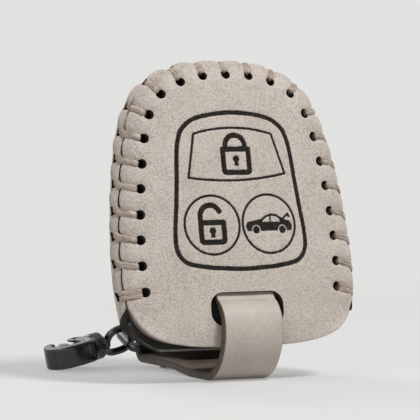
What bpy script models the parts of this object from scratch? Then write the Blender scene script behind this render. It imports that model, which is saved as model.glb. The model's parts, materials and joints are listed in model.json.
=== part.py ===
"""Laced leather key case with a strap, a D ring and a small swivel clasp.

The case stands on the loop of its strap and leans back a little.
Lengths are in metres. X runs to the right, Y to the back and Z up.
The floor is at Z = 0, and the origin is the middle of the strap's flat foot.
The case's own pieces are placed in a leaning frame, whose origin is CASE_HEIGHT above the floor.
"""

import math

import bmesh
import bpy
import numpy as np
from mathutils import Matrix, Vector

# Clearances
GAP = 0.0003
SEAM_GAP = 0.0006
CUT_OVERRUN = 0.0020

# Case outline, in the leaning frame
CASE_HALF_WIDTH = 0.02555
CASE_TOP = 0.0207
CASE_BOTTOM = 0.0381
CASE_LEAN = math.radians(12.4)
CASE_LIFT = 0.00709
CASE_HEIGHT = CASE_LIFT + CASE_BOTTOM * math.cos(CASE_LEAN)
CASE_SETBACK = -0.00125
OUTLINE_SHARES = (
    (0.000, 1.000), (0.165, 0.995), (0.317, 0.972), (0.477, 0.910), (0.600, 0.832), (0.701, 0.730),
    (0.778, 0.600), (0.831, 0.460), (0.872, 0.299), (0.908, 0.095), (0.938, -0.066),
    (0.965, -0.197), (0.986, -0.346), (0.998, -0.472), (1.000, -0.577), (0.994, -0.682),
    (0.976, -0.761), (0.947, -0.814), (0.900, -0.866), (0.830, -0.913), (0.728, -0.950),
    (0.603, -0.974), (0.450, -0.990), (0.235, -0.998), (0.000, -1.000),
)
OUTLINE_POINTS = 72
RING_CENTRE_SHARE = -0.209
LEAST_SQUARENESS = 0.5

# Front leather
FRONT_LEATHER = 0.0016
CROWN_RISE = 0.00195
CROWN_RADIUS_ACROSS = 0.150
CROWN_RADIUS_ALONG = 0.600
CROWN_CENTRE = -0.0020
ROLL_WIDTH = 0.0050
ROLL_POWER = 2.5
SEAM_SETBACK = 0.0015
MOUTH_SETBACK = 0.0001
SETBACK_FADE_SHARES = (-0.940, -0.700)
FRONT_RING_SHARES = (1.000, 0.965, 0.925, 0.880, 0.810, 0.660, 0.400)

# Shell of moulded leather
SHELL_LEATHER = 0.0014
SHELL_DEPTH = 0.0154
SHELL_STRAIGHT = 0.0046
SHELL_ROUND = 0.0110
SHELL_TURN_IN = math.radians(56)
SHELL_TURN_RADIUS = 0.0021
SHELL_EDGE_STEP = 0.0003
SHELL_BULGE_FADE = 0.0045
SHELL_DOME = 0.0005
SHELL_STRETCH_SHARE = 2.0
SHELL_EDGE_SHARES = (1.00, 0.67, 0.33, 0.00)
SHELL_TURN_SHARES = (0.06, 0.20, 0.36, 0.52, 0.70, 0.86, 1.00)
SHELL_BACK_SHARES = (0.70, 0.35)
SEAM_END_SHARE = -0.720
SIDE_GAP_SHARES = (
    (-0.500, -0.715), (0.085, -0.722), (0.110, -0.745), (0.150, -0.785), (0.225, -0.813),
    (0.400, -0.826), (0.570, -0.835), (0.750, -0.880), (1.050, -1.040),
)
MOUTH_SHARES = (
    (1.120, -0.825), (0.960, -0.835), (0.860, -0.858), (0.700, -0.905), (0.550, -0.953),
    (0.430, -0.985), (0.270, -1.008), (0.000, -1.018),
)

# Linings
LINING = 0.0005
FRONT_LINING = 0.0015
LINING_SEAM_MARGIN = 0.0058
LINING_MOUTH_MARGIN = 0.0010
LINING_BLEND_SHARES = (-0.960, -0.820)
LINING_OUTLINE_POINTS = 54
SHELL_LINING_START = 0.0070

# Lacing
HOLES_EACH_SIDE = 11
HOLE_PITCH = 0.00518
HOLE_MARGIN_TOP = 0.0032
HOLE_MARGIN_END = 0.0039
HOLE_RADIUS = 0.0009
HOLE_SIDES = 10
SHELL_HOLE_MARGIN = 0.0007
STITCH_SLANT = 0.0011
THREAD_RADIUS = 0.00035
THREAD_CLEARANCE = 0.0002

# Slot in the front
SLOT_WIDTH = 0.0162
SLOT_HEIGHT = 0.0064
SLOT_TOP = 0.0275
SLOT_CORNER = 0.0027

# Strap
STRAP_WIDTH = 0.0130
STRAP_LEATHER = 0.0018
STRAP_FOOT = 0.0065
STRAP_BULGE = 0.0033
LOOP_HEIGHT = 0.0093
LOOP_SQUARENESS = 1.85
LEG_RISE_LENGTH = 0.0130
STRAP_TURN_Y = 0.02875
ROOT_LENGTH = 0.0150
ROOT_LEATHER = 0.0007
ROOT_SEAT = 0.00045
ROOT_OVERHANG = 0.0006
RETURN_LENGTH = 0.0135
FRONT_LEG_LEAD_SHARES = (0.62, 0.25)
FRONT_LEG_HANDLE_SHARE = 0.45

# Snap
SNAP_Y = 0.02175
SNAP_CAP_RADIUS = 0.0050
SNAP_CAP_HEIGHT = 0.0007
SNAP_SHANK_RADIUS = 0.0012
SNAP_SOCKET_RADIUS = 0.0032
SNAP_SOCKET_BORE = 0.0016
SNAP_SOCKET_HEIGHT = 0.0012
SNAP_STUD_RADIUS = 0.00115
SNAP_STUD_REACH = 0.0010
SNAP_BASE_RADIUS = 0.0030
SNAP_BASE_HEIGHT = 0.0005
SNAP_POST_RADIUS = 0.0036
SNAP_POST_HEIGHT = 0.0007

# D ring
RING_WIRE = 0.0010
RING_SIDE_PLAY = 0.0008
RING_ARM = 0.0060
RING_BOW = 0.0045
RING_CORNER = 0.0014
RING_TILT = math.radians(20.0)
LINK_REACH = 0.0050

# Clasp, along its own line from the eye's centre to the hook's tip
CLASP_HEADING = math.radians(186.0)
EYE_WIRE = 0.0008
EYE_RADIUS = 0.0032
EYE_ROLL = math.radians(55.0)
NECK_RADIUS = 0.0012
NECK_HEAD_RADIUS = 0.0019
NECK_HEAD_LENGTH = 0.0008
BARREL_START = 0.0047
BARREL_LIP = 0.0007
BARREL_RADIUS = 0.0028
BARREL_LENGTH = 0.0033
HOOK_START = 0.0070
HOOK_LENGTH = 0.0104
HOOK_HALF_WIDTH = 0.0043
HOOK_THICKNESS = 0.0044
HOOK_EDGE_ROUND = 0.0008
HOOK_SHARES = (
    (0.000, -0.530), (0.080, -0.950), (0.290, -1.000), (0.295, -0.440), (0.255, -0.310),
    (0.240, 0.110), (0.310, 0.420), (0.485, 0.510), (0.700, 0.445), (0.815, 0.135),
    (0.835, -0.220), (0.780, -0.490), (0.700, -0.580), (0.675, -0.600), (0.675, -0.955),
    (0.785, -0.935), (0.910, -0.690), (0.990, -0.270), (1.000, 0.130), (0.935, 0.580),
    (0.795, 0.890), (0.525, 1.000), (0.245, 0.955), (0.095, 0.820), (0.000, 0.530),
)
GATE_SHARES = (
    (0.310, -0.960), (0.350, -1.240), (0.455, -1.240), (0.500, -0.960), (0.650, -0.955),
    (0.650, -0.560), (0.735, -0.480), (0.735, -0.270), (0.600, -0.270), (0.545, -0.560),
    (0.290, -0.500),
)
GATE_PIVOT_SHARES = (0.175, -0.667)
GATE_THICKNESS = 0.0028
GATE_EYE_RADIUS = 0.0014
CLEVIS_CLEARANCE = 0.0003
PIN_RADIUS = 0.0005
PIN_CLEARANCE = 0.0002
PIN_SHORTENING = 0.0004
SPRING_WIRE = 0.00015
SPRING_RADIUS = 0.00105
SPRING_TURNS = 1.3
SPRING_PITCH = 0.00065
SPRING_POINTS_PER_TURN = 10
SPRING_LEG = 0.0016

# Resolution
ROUND_SIDES = 24
WIRE_SIDE_STEPS = 2
SWIVEL_SIDES = 20
LEATHER_PALE = (0.56, 0.50, 0.44)
LEATHER_RAW = (0.30, 0.24, 0.19)
SUEDE_DARK = (0.030, 0.026, 0.022)
THREAD_PALE = (0.62, 0.54, 0.44)
METAL_BRIGHT = (0.62, 0.62, 0.63)
METAL_DARK = (0.10, 0.10, 0.11)

# Sizes that follow from the ones above
SHELL_EDGE = (
    SEAM_SETBACK + SEAM_GAP * math.cos(SHELL_TURN_IN) + SHELL_EDGE_STEP * math.sin(SHELL_TURN_IN)
)
SHELL_EDGE_OUT = SEAM_GAP * math.sin(SHELL_TURN_IN) - SHELL_EDGE_STEP * math.cos(SHELL_TURN_IN)
SHELL_WIDEST = SHELL_EDGE + SHELL_TURN_RADIUS * math.sin(SHELL_TURN_IN)
SHELL_BULGE = SHELL_EDGE_OUT + SHELL_TURN_RADIUS * (1 - math.cos(SHELL_TURN_IN))
SHELL_HOLE_Y = SHELL_WIDEST + SHELL_HOLE_MARGIN
STRAP_HALF = STRAP_LEATHER / 2
LEG_UNDERSIDE = SNAP_CAP_HEIGHT + GAP
LEG_TOP = LEG_UNDERSIDE + STRAP_LEATHER
TURN_INNER_RADIUS = RING_WIRE + GAP
TURN_Z = LEG_TOP + TURN_INNER_RADIUS
TURN_RADIUS = TURN_INNER_RADIUS + STRAP_HALF
RETURN_Z = TURN_Z + TURN_RADIUS
RETURN_HINGE_Y = STRAP_TURN_Y - GAP - GAP - STRAP_HALF
RING_ARM_X = STRAP_WIDTH / 2 + RING_SIDE_PLAY + RING_WIRE
HINGE_LOCAL_Z = -(SLOT_TOP + GAP + STRAP_HALF)
GATE_PIVOT = (
    HOOK_START + GATE_PIVOT_SHARES[0] * HOOK_LENGTH,
    GATE_PIVOT_SHARES[1] * HOOK_HALF_WIDTH,
)
LEAN_FRAME = Matrix.Translation((0, CASE_SETBACK, CASE_HEIGHT)) @ Matrix.Rotation(-CASE_LEAN, 4, "X")
SIDE_PROFILE_TURN = (math.pi / 2, 0, math.pi / 2)
FRONT_PROFILE_TURN = (math.pi / 2, 0, 0)


def clear_scene():
    for obj in list(bpy.data.objects):
        bpy.data.objects.remove(obj, do_unlink=True)


def make_collection(name):
    group = bpy.data.collections.new(name)
    bpy.context.scene.collection.children.link(group)
    return group


clear_scene()
PARTS = make_collection("key_case")
CUTTERS = make_collection("cutters")


# Helpers
def finish(name, colour, roughness, metallic=0.0):
    """A plain Principled material of its own for one sub-part."""
    mat = bpy.data.materials.new(name)
    mat.use_nodes = True
    shader = mat.node_tree.nodes["Principled BSDF"]
    shader.inputs["Base Color"].default_value = (*colour, 1)
    shader.inputs["Roughness"].default_value = roughness
    shader.inputs["Metallic"].default_value = metallic
    return mat


def add_object(name, data, group=None):
    obj = bpy.data.objects.new(name, data)
    (group or PARTS).objects.link(obj)
    return obj


def add_empty(name, location, rotation=(0, 0, 0), parent=None):
    empty = add_object(name, None)
    return place(empty, location, rotation, parent)


def place(obj, location=(0, 0, 0), rotation=(0, 0, 0), parent=None):
    obj.parent = parent
    obj.location = location
    obj.rotation_euler = rotation
    return obj


def as_cutter(obj):
    """Moves an object to the cutters, where it isn't rendered."""
    for group in list(obj.users_collection):
        group.objects.unlink(obj)
    CUTTERS.objects.link(obj)
    obj.hide_render = True
    obj.display_type = "WIRE"
    return obj


def mesh_from_curve(curve_object):
    """Replaces a curve by its welded mesh."""
    bpy.context.view_layer.update()
    depsgraph = bpy.context.evaluated_depsgraph_get()
    mesh = bpy.data.meshes.new_from_object(curve_object.evaluated_get(depsgraph))
    soup = bmesh.new()
    soup.from_mesh(mesh)
    bmesh.ops.remove_doubles(soup, verts=soup.verts, dist=GAP / 100)
    soup.to_mesh(mesh)
    soup.free()
    name = curve_object.name
    matrix = curve_object.matrix_world.copy()
    bpy.data.objects.remove(curve_object, do_unlink=True)
    solid = add_object(name, mesh)
    solid.matrix_world = matrix
    return solid


def extruded(name, points, thickness):
    """A flat outline in the object's XY plane, thickened evenly along its Z."""
    curve = bpy.data.curves.new(name, "CURVE")
    curve.dimensions = "2D"
    curve.fill_mode = "BOTH"
    curve.extrude = thickness / 2
    spline = curve.splines.new("POLY")
    spline.points.add(len(points) - 1)
    for point, (x, y) in zip(spline.points, points):
        point.co = (x, y, 0, 1)
    spline.use_cyclic_u = True
    return mesh_from_curve(add_object(name, curve))


def tube(name, points, radius, side_steps, closed=False):
    """A round wire along a list of points."""
    curve = bpy.data.curves.new(name, "CURVE")
    curve.dimensions = "3D"
    curve.bevel_depth = radius
    curve.bevel_resolution = side_steps
    curve.use_fill_caps = not closed
    spline = curve.splines.new("POLY")
    spline.points.add(len(points) - 1)
    for point, co in zip(spline.points, points):
        point.co = (*co, 1)
    spline.use_cyclic_u = closed
    solid = mesh_from_curve(add_object(name, curve))
    solid.data.shade_smooth()
    return solid


def turned(name, profile, sides=ROUND_SIDES, closed=False):
    """A solid of revolution about its own Z, from (radius, height) pairs, top to bottom."""
    mesh = bpy.data.meshes.new(name)
    soup = bmesh.new()
    verts = [soup.verts.new((radius, 0, height)) for radius, height in profile]
    for first, second in zip(verts, verts[1:] + (verts[:1] if closed else [])):
        soup.edges.new((first, second))
    soup.to_mesh(mesh)
    soup.free()
    solid = add_object(name, mesh)
    screw = solid.modifiers.new("Screw", "SCREW")
    screw.steps = sides
    screw.render_steps = sides
    screw.use_merge_vertices = True
    screw.merge_threshold = GAP / 100
    return solid


def cylinder(name, radius, depth, sides=ROUND_SIDES):
    mesh = bpy.data.meshes.new(name)
    soup = bmesh.new()
    bmesh.ops.create_cone(
        soup, cap_ends=True, segments=sides, radius1=radius, radius2=radius, depth=depth
    )
    soup.to_mesh(mesh)
    soup.free()
    return add_object(name, mesh)


def box(name, size):
    mesh = bpy.data.meshes.new(name)
    soup = bmesh.new()
    bmesh.ops.create_cube(soup, size=1, matrix=Matrix.Diagonal((*size, 1)))
    soup.to_mesh(mesh)
    soup.free()
    return add_object(name, mesh)


def combine(obj, other, operation):
    """Adds a Boolean with an object that stays with the cutters."""
    modifier = obj.modifiers.new(operation.title(), "BOOLEAN")
    modifier.operation = operation
    modifier.solver = "EXACT"
    modifier.object = as_cutter(other)
    return obj


def bevelled(obj, width, segments=2):
    modifier = obj.modifiers.new("Bevel", "BEVEL")
    modifier.width = width
    modifier.segments = segments
    modifier.limit_method = "ANGLE"
    return obj


def smoothed(obj):
    obj.data.shade_smooth()
    obj.data.set_sharp_from_angle(angle=math.radians(35))
    return obj


# Case outline
def spline_through(points, steps):
    """A closed smooth curve through the points, with so many steps between each pair."""
    count = len(points)
    out = []
    for i in range(count):
        p0, p1, p2, p3 = (points[(i + k - 1) % count] for k in range(4))
        for step in range(steps):
            t = step / steps
            out.append(
                0.5 * ((2 * p1) + (p2 - p0) * t + (2 * p0 - 5 * p1 + 4 * p2 - p3) * t * t
                       + (3 * p1 - p0 - 3 * p2 + p3) * t ** 3)
            )
    return np.array(out)


def case_outline(stretch=1.0, count=OUTLINE_POINTS):
    """Evenly spaced (x, z) points of the case's edge, from the top, clockwise seen from the front.

    The stretch lengthens only what lies below the seam.
    """
    half = []
    for x, z in OUTLINE_SHARES:
        below_seam = min(0.0, z - SEAM_END_SHARE)
        z += below_seam * (stretch - 1)
        half.append(np.array((x * CASE_HALF_WIDTH, z * (CASE_TOP if z > 0 else CASE_BOTTOM))))
    mirrored = [np.array((-p[0], p[1])) for p in half[-2:0:-1]]
    dense = spline_through(half + mirrored, 16)
    return evenly_spaced(dense, count)


def evenly_spaced(loop, count):
    closed = np.vstack([loop, loop[:1]])
    lengths = np.concatenate([[0], np.cumsum(np.linalg.norm(np.diff(closed, axis=0), axis=1))])
    targets = np.linspace(0, lengths[-1], count, endpoint=False)
    return np.stack([np.interp(targets, lengths, closed[:, k]) for k in range(2)], 1)


def inward_normals(loop):
    tangent = np.roll(loop, -1, axis=0) - np.roll(loop, 1, axis=0)
    tangent /= np.linalg.norm(tangent, axis=1)[:, None]
    return np.stack([tangent[:, 1], -tangent[:, 0]], 1)


FINE_OUTLINE = case_outline(count=720)
FINE_NORMALS = inward_normals(FINE_OUTLINE)
FINE_STEP = float(np.linalg.norm(FINE_OUTLINE[1] - FINE_OUTLINE[0]))


def edge_distance(x, z):
    """How far a point of the front lies from its cut edge."""
    return float(np.min(np.hypot(FINE_OUTLINE[:, 0] - x, FINE_OUTLINE[:, 1] - z)))


def front_face(x, z):
    """Y of the front leather's outer face: crowned, and rolled back at its laced edge."""
    crown = (
        x * x / (2 * CROWN_RADIUS_ACROSS)
        + (z - CROWN_CENTRE) ** 2 / (2 * CROWN_RADIUS_ALONG)
        - CROWN_RISE
    )
    low, high = SETBACK_FADE_SHARES
    laced = min(1.0, max(0.0, (z / CASE_BOTTOM - low) / (high - low)))
    setback = MOUTH_SETBACK + laced * laced * (3 - 2 * laced) * (SEAM_SETBACK - MOUTH_SETBACK)
    pull = max(0.0, 1 - edge_distance(x, z) / ROLL_WIDTH) ** ROLL_POWER
    return crown + pull * (setback - crown)


def towards_centre(loop, share):
    centre = np.array((0, RING_CENTRE_SHARE * CASE_BOTTOM))
    return centre + (loop - centre) * share


def inset(loop, distance):
    """Moves each point towards the centre until it lies a distance inside the loop."""
    centre = np.array((0, RING_CENTRE_SHARE * CASE_BOTTOM))
    arm = centre - loop
    arm /= np.linalg.norm(arm, axis=1)[:, None]
    squareness = np.maximum(LEAST_SQUARENESS, np.sum(arm * inward_normals(loop), axis=1))
    return loop + arm * (distance / squareness)[:, None]


def loft(name, rings, centre, faces_front):
    """An open skin over closed rings, closed at its middle by a centre point."""
    mesh = bpy.data.meshes.new(name)
    soup = bmesh.new()
    rows = [[soup.verts.new(co) for co in ring] for ring in rings]
    middle = soup.verts.new(centre)
    count = len(rows[0])
    for outer, inner in zip(rows, rows[1:]):
        for i in range(count):
            j = (i + 1) % count
            corners = [outer[i], inner[i], inner[j], outer[j]]
            soup.faces.new(corners if faces_front else corners[::-1])
    for i in range(count):
        corners = [rows[-1][i], middle, rows[-1][(i + 1) % count]]
        soup.faces.new(corners if faces_front else corners[::-1])
    soup.to_mesh(mesh)
    soup.free()
    return add_object(name, mesh)


def thickened(obj, thickness):
    """Gives a skin its thickness on the side its faces turn from."""
    modifier = obj.modifiers.new("Solidify", "SOLIDIFY")
    modifier.thickness = thickness
    modifier.offset = -1
    modifier.use_even_offset = True
    modifier.use_quality_normals = True
    return obj


# Lacing holes
def hole_margin(number):
    """Distance of a hole from the edge, for its number counted from the top."""
    return HOLE_MARGIN_TOP + (HOLE_MARGIN_END - HOLE_MARGIN_TOP) * number / HOLES_EACH_SIDE


def seam_point(index, margin, slant=0.0):
    """(x, z) at a margin from the edge, moved along it clockwise by a share of the slant."""
    moved = (index + round(slant * STITCH_SLANT / FINE_STEP)) % len(FINE_OUTLINE)
    return FINE_OUTLINE[moved] + margin * FINE_NORMALS[moved]


def seam_places():
    """Fine outline index and margin of each front hole, from the left end to the right end."""
    count = len(FINE_OUTLINE)
    right = [0]
    for i in range(1, count // 2):
        here = seam_point(i, hole_margin(len(right)))
        there = seam_point(right[-1], hole_margin(len(right) - 1))
        if np.linalg.norm(here - there) >= HOLE_PITCH - FINE_STEP / 2:
            right.append(i)
        if len(right) > HOLES_EACH_SIDE:
            break
    left = [(count - i, hole_margin(k)) for k, i in enumerate(right) if k][::-1]
    return left + [(i, hole_margin(k)) for k, i in enumerate(right)]


SEAM = seam_places()


def hole_cutters(name, places_and_turns):
    """One cutter of separate cylinders, each with its own place and direction."""
    mesh = bpy.data.meshes.new(name)
    soup = bmesh.new()
    depth = 2 * (FRONT_LEATHER + CUT_OVERRUN)
    for place_at, direction in places_and_turns:
        turn = Vector(direction).to_track_quat("Z", "X").to_matrix().to_4x4()
        bmesh.ops.create_cone(
            soup, cap_ends=True, segments=HOLE_SIDES, radius1=HOLE_RADIUS, radius2=HOLE_RADIUS,
            depth=depth, matrix=Matrix.Translation(place_at) @ turn,
        )
    soup.to_mesh(mesh)
    soup.free()
    return add_object(name, mesh)


# Front
def rounded_rectangle(width, height, corner, centre_y=0.0, steps=4):
    points = []
    for quarter in range(4):
        sign_x = (1, -1, -1, 1)[quarter]
        sign_y = (1, 1, -1, -1)[quarter]
        for step in range(steps + 1):
            angle = (quarter + step / steps) * math.pi / 2
            points.append((
                sign_x * (width / 2 - corner) + corner * math.cos(angle),
                centre_y + sign_y * (height / 2 - corner) + corner * math.sin(angle),
            ))
    return points


def make_front_panel(case):
    rings = []
    for share in FRONT_RING_SHARES:
        loop = towards_centre(case_outline(), share)
        rings.append([(x, front_face(x, z), z) for x, z in loop])
    middle_z = RING_CENTRE_SHARE * CASE_BOTTOM
    panel = loft("front_panel", rings, (0, front_face(0, middle_z), middle_z), True)
    thickened(place(panel, parent=case), FRONT_LEATHER)
    holes = []
    for index, margin in SEAM:
        x, z = seam_point(index, margin)
        holes.append(((x, front_face(x, z), z), (0, 1, 0)))
    combine(panel, place(hole_cutters("front_holes", holes), parent=case), "DIFFERENCE")
    slot_points = rounded_rectangle(
        SLOT_WIDTH, SLOT_HEIGHT, SLOT_CORNER, -(SLOT_TOP + SLOT_HEIGHT / 2)
    )
    slot = extruded("slot_cutter", slot_points, 2 * (FRONT_LEATHER + CUT_OVERRUN))
    combine(panel, place(slot, rotation=FRONT_PROFILE_TURN, parent=case), "DIFFERENCE")
    panel.data.materials.append(finish("front_leather", LEATHER_PALE, 0.55))
    return smoothed(panel)


def lining_margin(z):
    """The front lining stops short of the lacing, and nearly reaches the mouth."""
    low, high = LINING_BLEND_SHARES
    blend = min(1.0, max(0.0, (z / CASE_BOTTOM - low) / (high - low)))
    return LINING_MOUTH_MARGIN + blend * (LINING_SEAM_MARGIN - LINING_MOUTH_MARGIN)


def root_profile(extra_front, extra_back, extra_end):
    """Side profile, in (y, z), of the strap's root behind the front, with room added round it."""
    top = -SLOT_TOP + ROOT_LENGTH + extra_end
    bottom = HINGE_LOCAL_Z - ROOT_OVERHANG - extra_end
    heights = [bottom + (top - bottom) * k / 4 for k in range(5)]
    seat = [front_face(0, z) + FRONT_LEATHER + ROOT_SEAT for z in heights]
    front = [(y - extra_front, z) for y, z in zip(seat, heights)]
    back = [(y + ROOT_LEATHER + extra_back, z) for y, z in zip(seat, heights)]
    return front + back[::-1]


def make_front_lining(case):
    outline = case_outline(count=LINING_OUTLINE_POINTS)
    rim = inset(outline, np.array([lining_margin(z) for _, z in outline]))
    rings = []
    for share in FRONT_RING_SHARES:
        loop = towards_centre(rim, share)
        rings.append([(x, front_face(x, z) + FRONT_LEATHER + GAP, z) for x, z in loop])
    middle_z = RING_CENTRE_SHARE * CASE_BOTTOM
    middle = (0, front_face(0, middle_z) + FRONT_LEATHER + GAP, middle_z)
    lining = thickened(loft("front_lining", rings, middle, True), FRONT_LINING)
    place(lining, parent=case)
    room = extruded(
        "root_room", root_profile(CUT_OVERRUN, GAP, GAP), STRAP_WIDTH + 2 * GAP + 2 * GAP
    )
    combine(lining, place(room, rotation=SIDE_PROFILE_TURN, parent=case), "DIFFERENCE")
    lining.data.materials.append(finish("front_suede", SUEDE_DARK, 0.95))
    return smoothed(lining)


def make_strap_root(case):
    root = extruded("strap_root", root_profile(0, 0, 0), STRAP_WIDTH)
    place(root, rotation=SIDE_PROFILE_TURN, parent=case)
    root.data.materials.append(finish("root_leather", LEATHER_RAW, 0.8))
    return root


# Shell
def shell_profile(offset, start):
    """(inset, y) of the bowl's outer face at an offset, from its front edge to the flat back.

    Its laced edge turns in to meet the front's edge.
    """
    levels = []
    if start < SHELL_STRAIGHT:
        for share in SHELL_EDGE_SHARES:
            turn = share * SHELL_TURN_IN
            out = SHELL_BULGE - SHELL_TURN_RADIUS * (1 - math.cos(turn))
            levels.append((-out, SHELL_WIDEST - SHELL_TURN_RADIUS * math.sin(turn)))
    rise = SHELL_DEPTH - offset - SHELL_STRAIGHT
    first = math.asin(max(0.0, start - SHELL_STRAIGHT) / rise)
    for share in SHELL_TURN_SHARES if levels else (0.0,) + SHELL_TURN_SHARES[1:]:
        angle = first + share * (math.pi / 2 - first)
        y = SHELL_STRAIGHT + rise * math.sin(angle)
        bulge = SHELL_BULGE * max(0.0, 1 - (y - SHELL_WIDEST) / SHELL_BULGE_FADE) ** 1.5
        levels.append((offset + (SHELL_ROUND - offset) * (1 - math.cos(angle)) - bulge, y))
    return levels


def shell_rings(offset, start, count):
    """Rings of the bowl's outer face and the middle point of its back."""
    loop = case_outline(SHELL_STRETCH_SHARE, count)
    levels = shell_profile(offset, start)
    rings = [[(x, y, z) for x, z in inset(loop, amount)] for amount, y in levels]
    last, depth = inset(loop, levels[-1][0]), levels[-1][1]
    for share in SHELL_BACK_SHARES:
        y = depth + SHELL_DOME * (1 - share * share)
        rings.append([(x, y, z) for x, z in towards_centre(last, share)])
    middle = (0, depth + SHELL_DOME, RING_CENTRE_SHARE * CASE_BOTTOM)
    return rings, middle


def side_gap_cutter(case):
    """A block that cuts the walls free of the front below the lacing."""
    points = [(y * SHELL_DEPTH, z * CASE_BOTTOM) for y, z in SIDE_GAP_SHARES]
    low = -2 * CASE_BOTTOM
    points += [(points[-1][0], low), (points[0][0], low)]
    block = extruded("side_gap_cutter", points, 4 * CASE_HALF_WIDTH)
    return place(block, rotation=SIDE_PROFILE_TURN, parent=case)


def mouth_cutter(case):
    """A frame round the shell's rounded lower corners."""
    right = [(x * CASE_HALF_WIDTH, z * CASE_BOTTOM) for x, z in MOUTH_SHARES]
    left = [(-x, z) for x, z in right[-2::-1]]
    side, low = 2 * CASE_HALF_WIDTH, -2 * CASE_BOTTOM
    points = [(side, right[0][1])] + right + left + [(-side, right[0][1]), (-side, low), (side, low)]
    frame = extruded("mouth_cutter", points, 4 * SHELL_DEPTH)
    return place(frame, rotation=FRONT_PROFILE_TURN, parent=case)


def make_shell(case, name, offset, start, thickness, count, mat):
    rings, middle = shell_rings(offset, start, count)
    shell = thickened(loft(name, rings, middle, False), thickness)
    place(shell, parent=case)
    combine(shell, side_gap_cutter(case), "DIFFERENCE")
    combine(shell, mouth_cutter(case), "DIFFERENCE")
    shell.data.materials.append(mat)
    return smoothed(shell)


def make_back_shell(case):
    mat = finish("shell_leather", LEATHER_PALE, 0.55)
    shell = make_shell(case, "back_shell", 0.0, SHELL_EDGE, SHELL_LEATHER, OUTLINE_POINTS, mat)
    holes = []
    for index, _ in SEAM:
        x, z = seam_point(index, 0, 1)
        across = seam_point(index, 1, 1) - (x, z)
        holes.append(((x, SHELL_HOLE_Y, z), (across[0], 0, across[1])))
    combine(shell, place(hole_cutters("shell_holes", holes), parent=case), "DIFFERENCE")
    return shell


def make_back_lining(case):
    mat = finish("shell_suede", SUEDE_DARK, 0.95)
    offset = SHELL_LEATHER + GAP
    count = LINING_OUTLINE_POINTS
    return make_shell(case, "back_lining", offset, SHELL_LINING_START, LINING, count, mat)


def thread_at(index, margin, y, slant=0.0):
    x, z = seam_point(index, margin, slant)
    return (x, y, z)


def make_seam_thread(case):
    """One unbroken thread: out of a front hole, over the edge, in at the shell, on to the next."""
    reach = THREAD_RADIUS + THREAD_CLEARANCE
    outside = -(reach + SHELL_BULGE)
    inside = SHELL_LEATHER - SHELL_BULGE + reach
    corner = SHELL_TURN_IN / 2
    bend_y = SHELL_WIDEST - (SHELL_TURN_RADIUS + reach) * math.sin(corner)
    bend = outside + (SHELL_TURN_RADIUS + reach) * (1 - math.cos(corner))
    points = []
    for index, margin in SEAM:
        face = front_face(*seam_point(index, margin))
        middle = front_face(*seam_point(index, margin / 2, 0.2))
        points += [
            thread_at(index, margin, face + FRONT_LEATHER + reach),
            thread_at(index, margin, face - THREAD_CLEARANCE),
            thread_at(index, margin - THREAD_RADIUS, face - reach),
            thread_at(index, margin / 2, middle - reach - THREAD_CLEARANCE, 0.2),
            thread_at(index, -reach, SEAM_SETBACK - reach, 0.4),
            thread_at(index, bend, bend_y, 0.6),
            thread_at(index, outside, SHELL_WIDEST, 0.8),
            thread_at(index, outside + THREAD_RADIUS, SHELL_HOLE_Y, 1),
            thread_at(index, inside, SHELL_HOLE_Y, 1),
        ]
    thread = tube("seam_thread", points, THREAD_RADIUS, 1)
    place(thread, parent=case)
    thread.data.materials.append(finish("thread", THREAD_PALE, 0.45))
    return thread


# Strap
def hinge_point():
    """Where the strap leaves the slot, in the world's (y, z)."""
    z = HINGE_LOCAL_Z
    y = front_face(0, z) + FRONT_LEATHER + ROOT_SEAT - GAP - STRAP_HALF
    world = LEAN_FRAME @ Vector((0, y, z))
    return np.array((world.y, world.z))


HINGE = hinge_point()


def bezier(p0, p1, p2, p3, steps):
    out = []
    for step in range(steps + 1):
        t = step / steps
        out.append((1 - t) ** 3 * p0 + 3 * (1 - t) ** 2 * t * p1 + 3 * (1 - t) * t * t * p2 + t ** 3 * p3)
    return out


def strap_path():
    """Middle line of the strap in (y, z): front leg, loop, flat foot, back leg and turn."""
    front = np.array((HINGE[0] - STRAP_BULGE, LOOP_HEIGHT + STRAP_HALF))
    drop = HINGE[1] - front[1]
    lead_back, lead_down = FRONT_LEG_LEAD_SHARES
    lead = np.array((HINGE[0] - STRAP_BULGE * lead_back, HINGE[1] - drop * lead_down))
    path = bezier(HINGE, lead, front + np.array((0, drop * FRONT_LEG_HANDLE_SHARE)), front, 6)
    reach = -STRAP_FOOT / 2 - front[0]
    power = 2 / LOOP_SQUARENESS
    for step in range(1, 9):
        angle = step / 8 * math.pi / 2
        path.append(np.array((
            -STRAP_FOOT / 2 - reach * max(0.0, math.cos(angle)) ** power,
            STRAP_HALF + LOOP_HEIGHT * (1 - math.sin(angle) ** power),
        )))
    path.append(np.array((STRAP_FOOT / 2, STRAP_HALF)))
    for step in range(1, 6):
        t = step / 5
        path.append(np.array((
            STRAP_FOOT / 2 + LEG_RISE_LENGTH * t,
            STRAP_HALF + LEG_UNDERSIDE * t * t * (3 - 2 * t),
        )))
    path.append(np.array((STRAP_TURN_Y, LEG_UNDERSIDE + STRAP_HALF)))
    for step in range(1, 9):
        angle = -math.pi / 2 + step / 8 * math.pi
        path.append(np.array((
            STRAP_TURN_Y + TURN_RADIUS * math.cos(angle), TURN_Z + TURN_RADIUS * math.sin(angle),
        )))
    path.append(np.array((STRAP_TURN_Y - GAP, RETURN_Z)))
    return path


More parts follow.
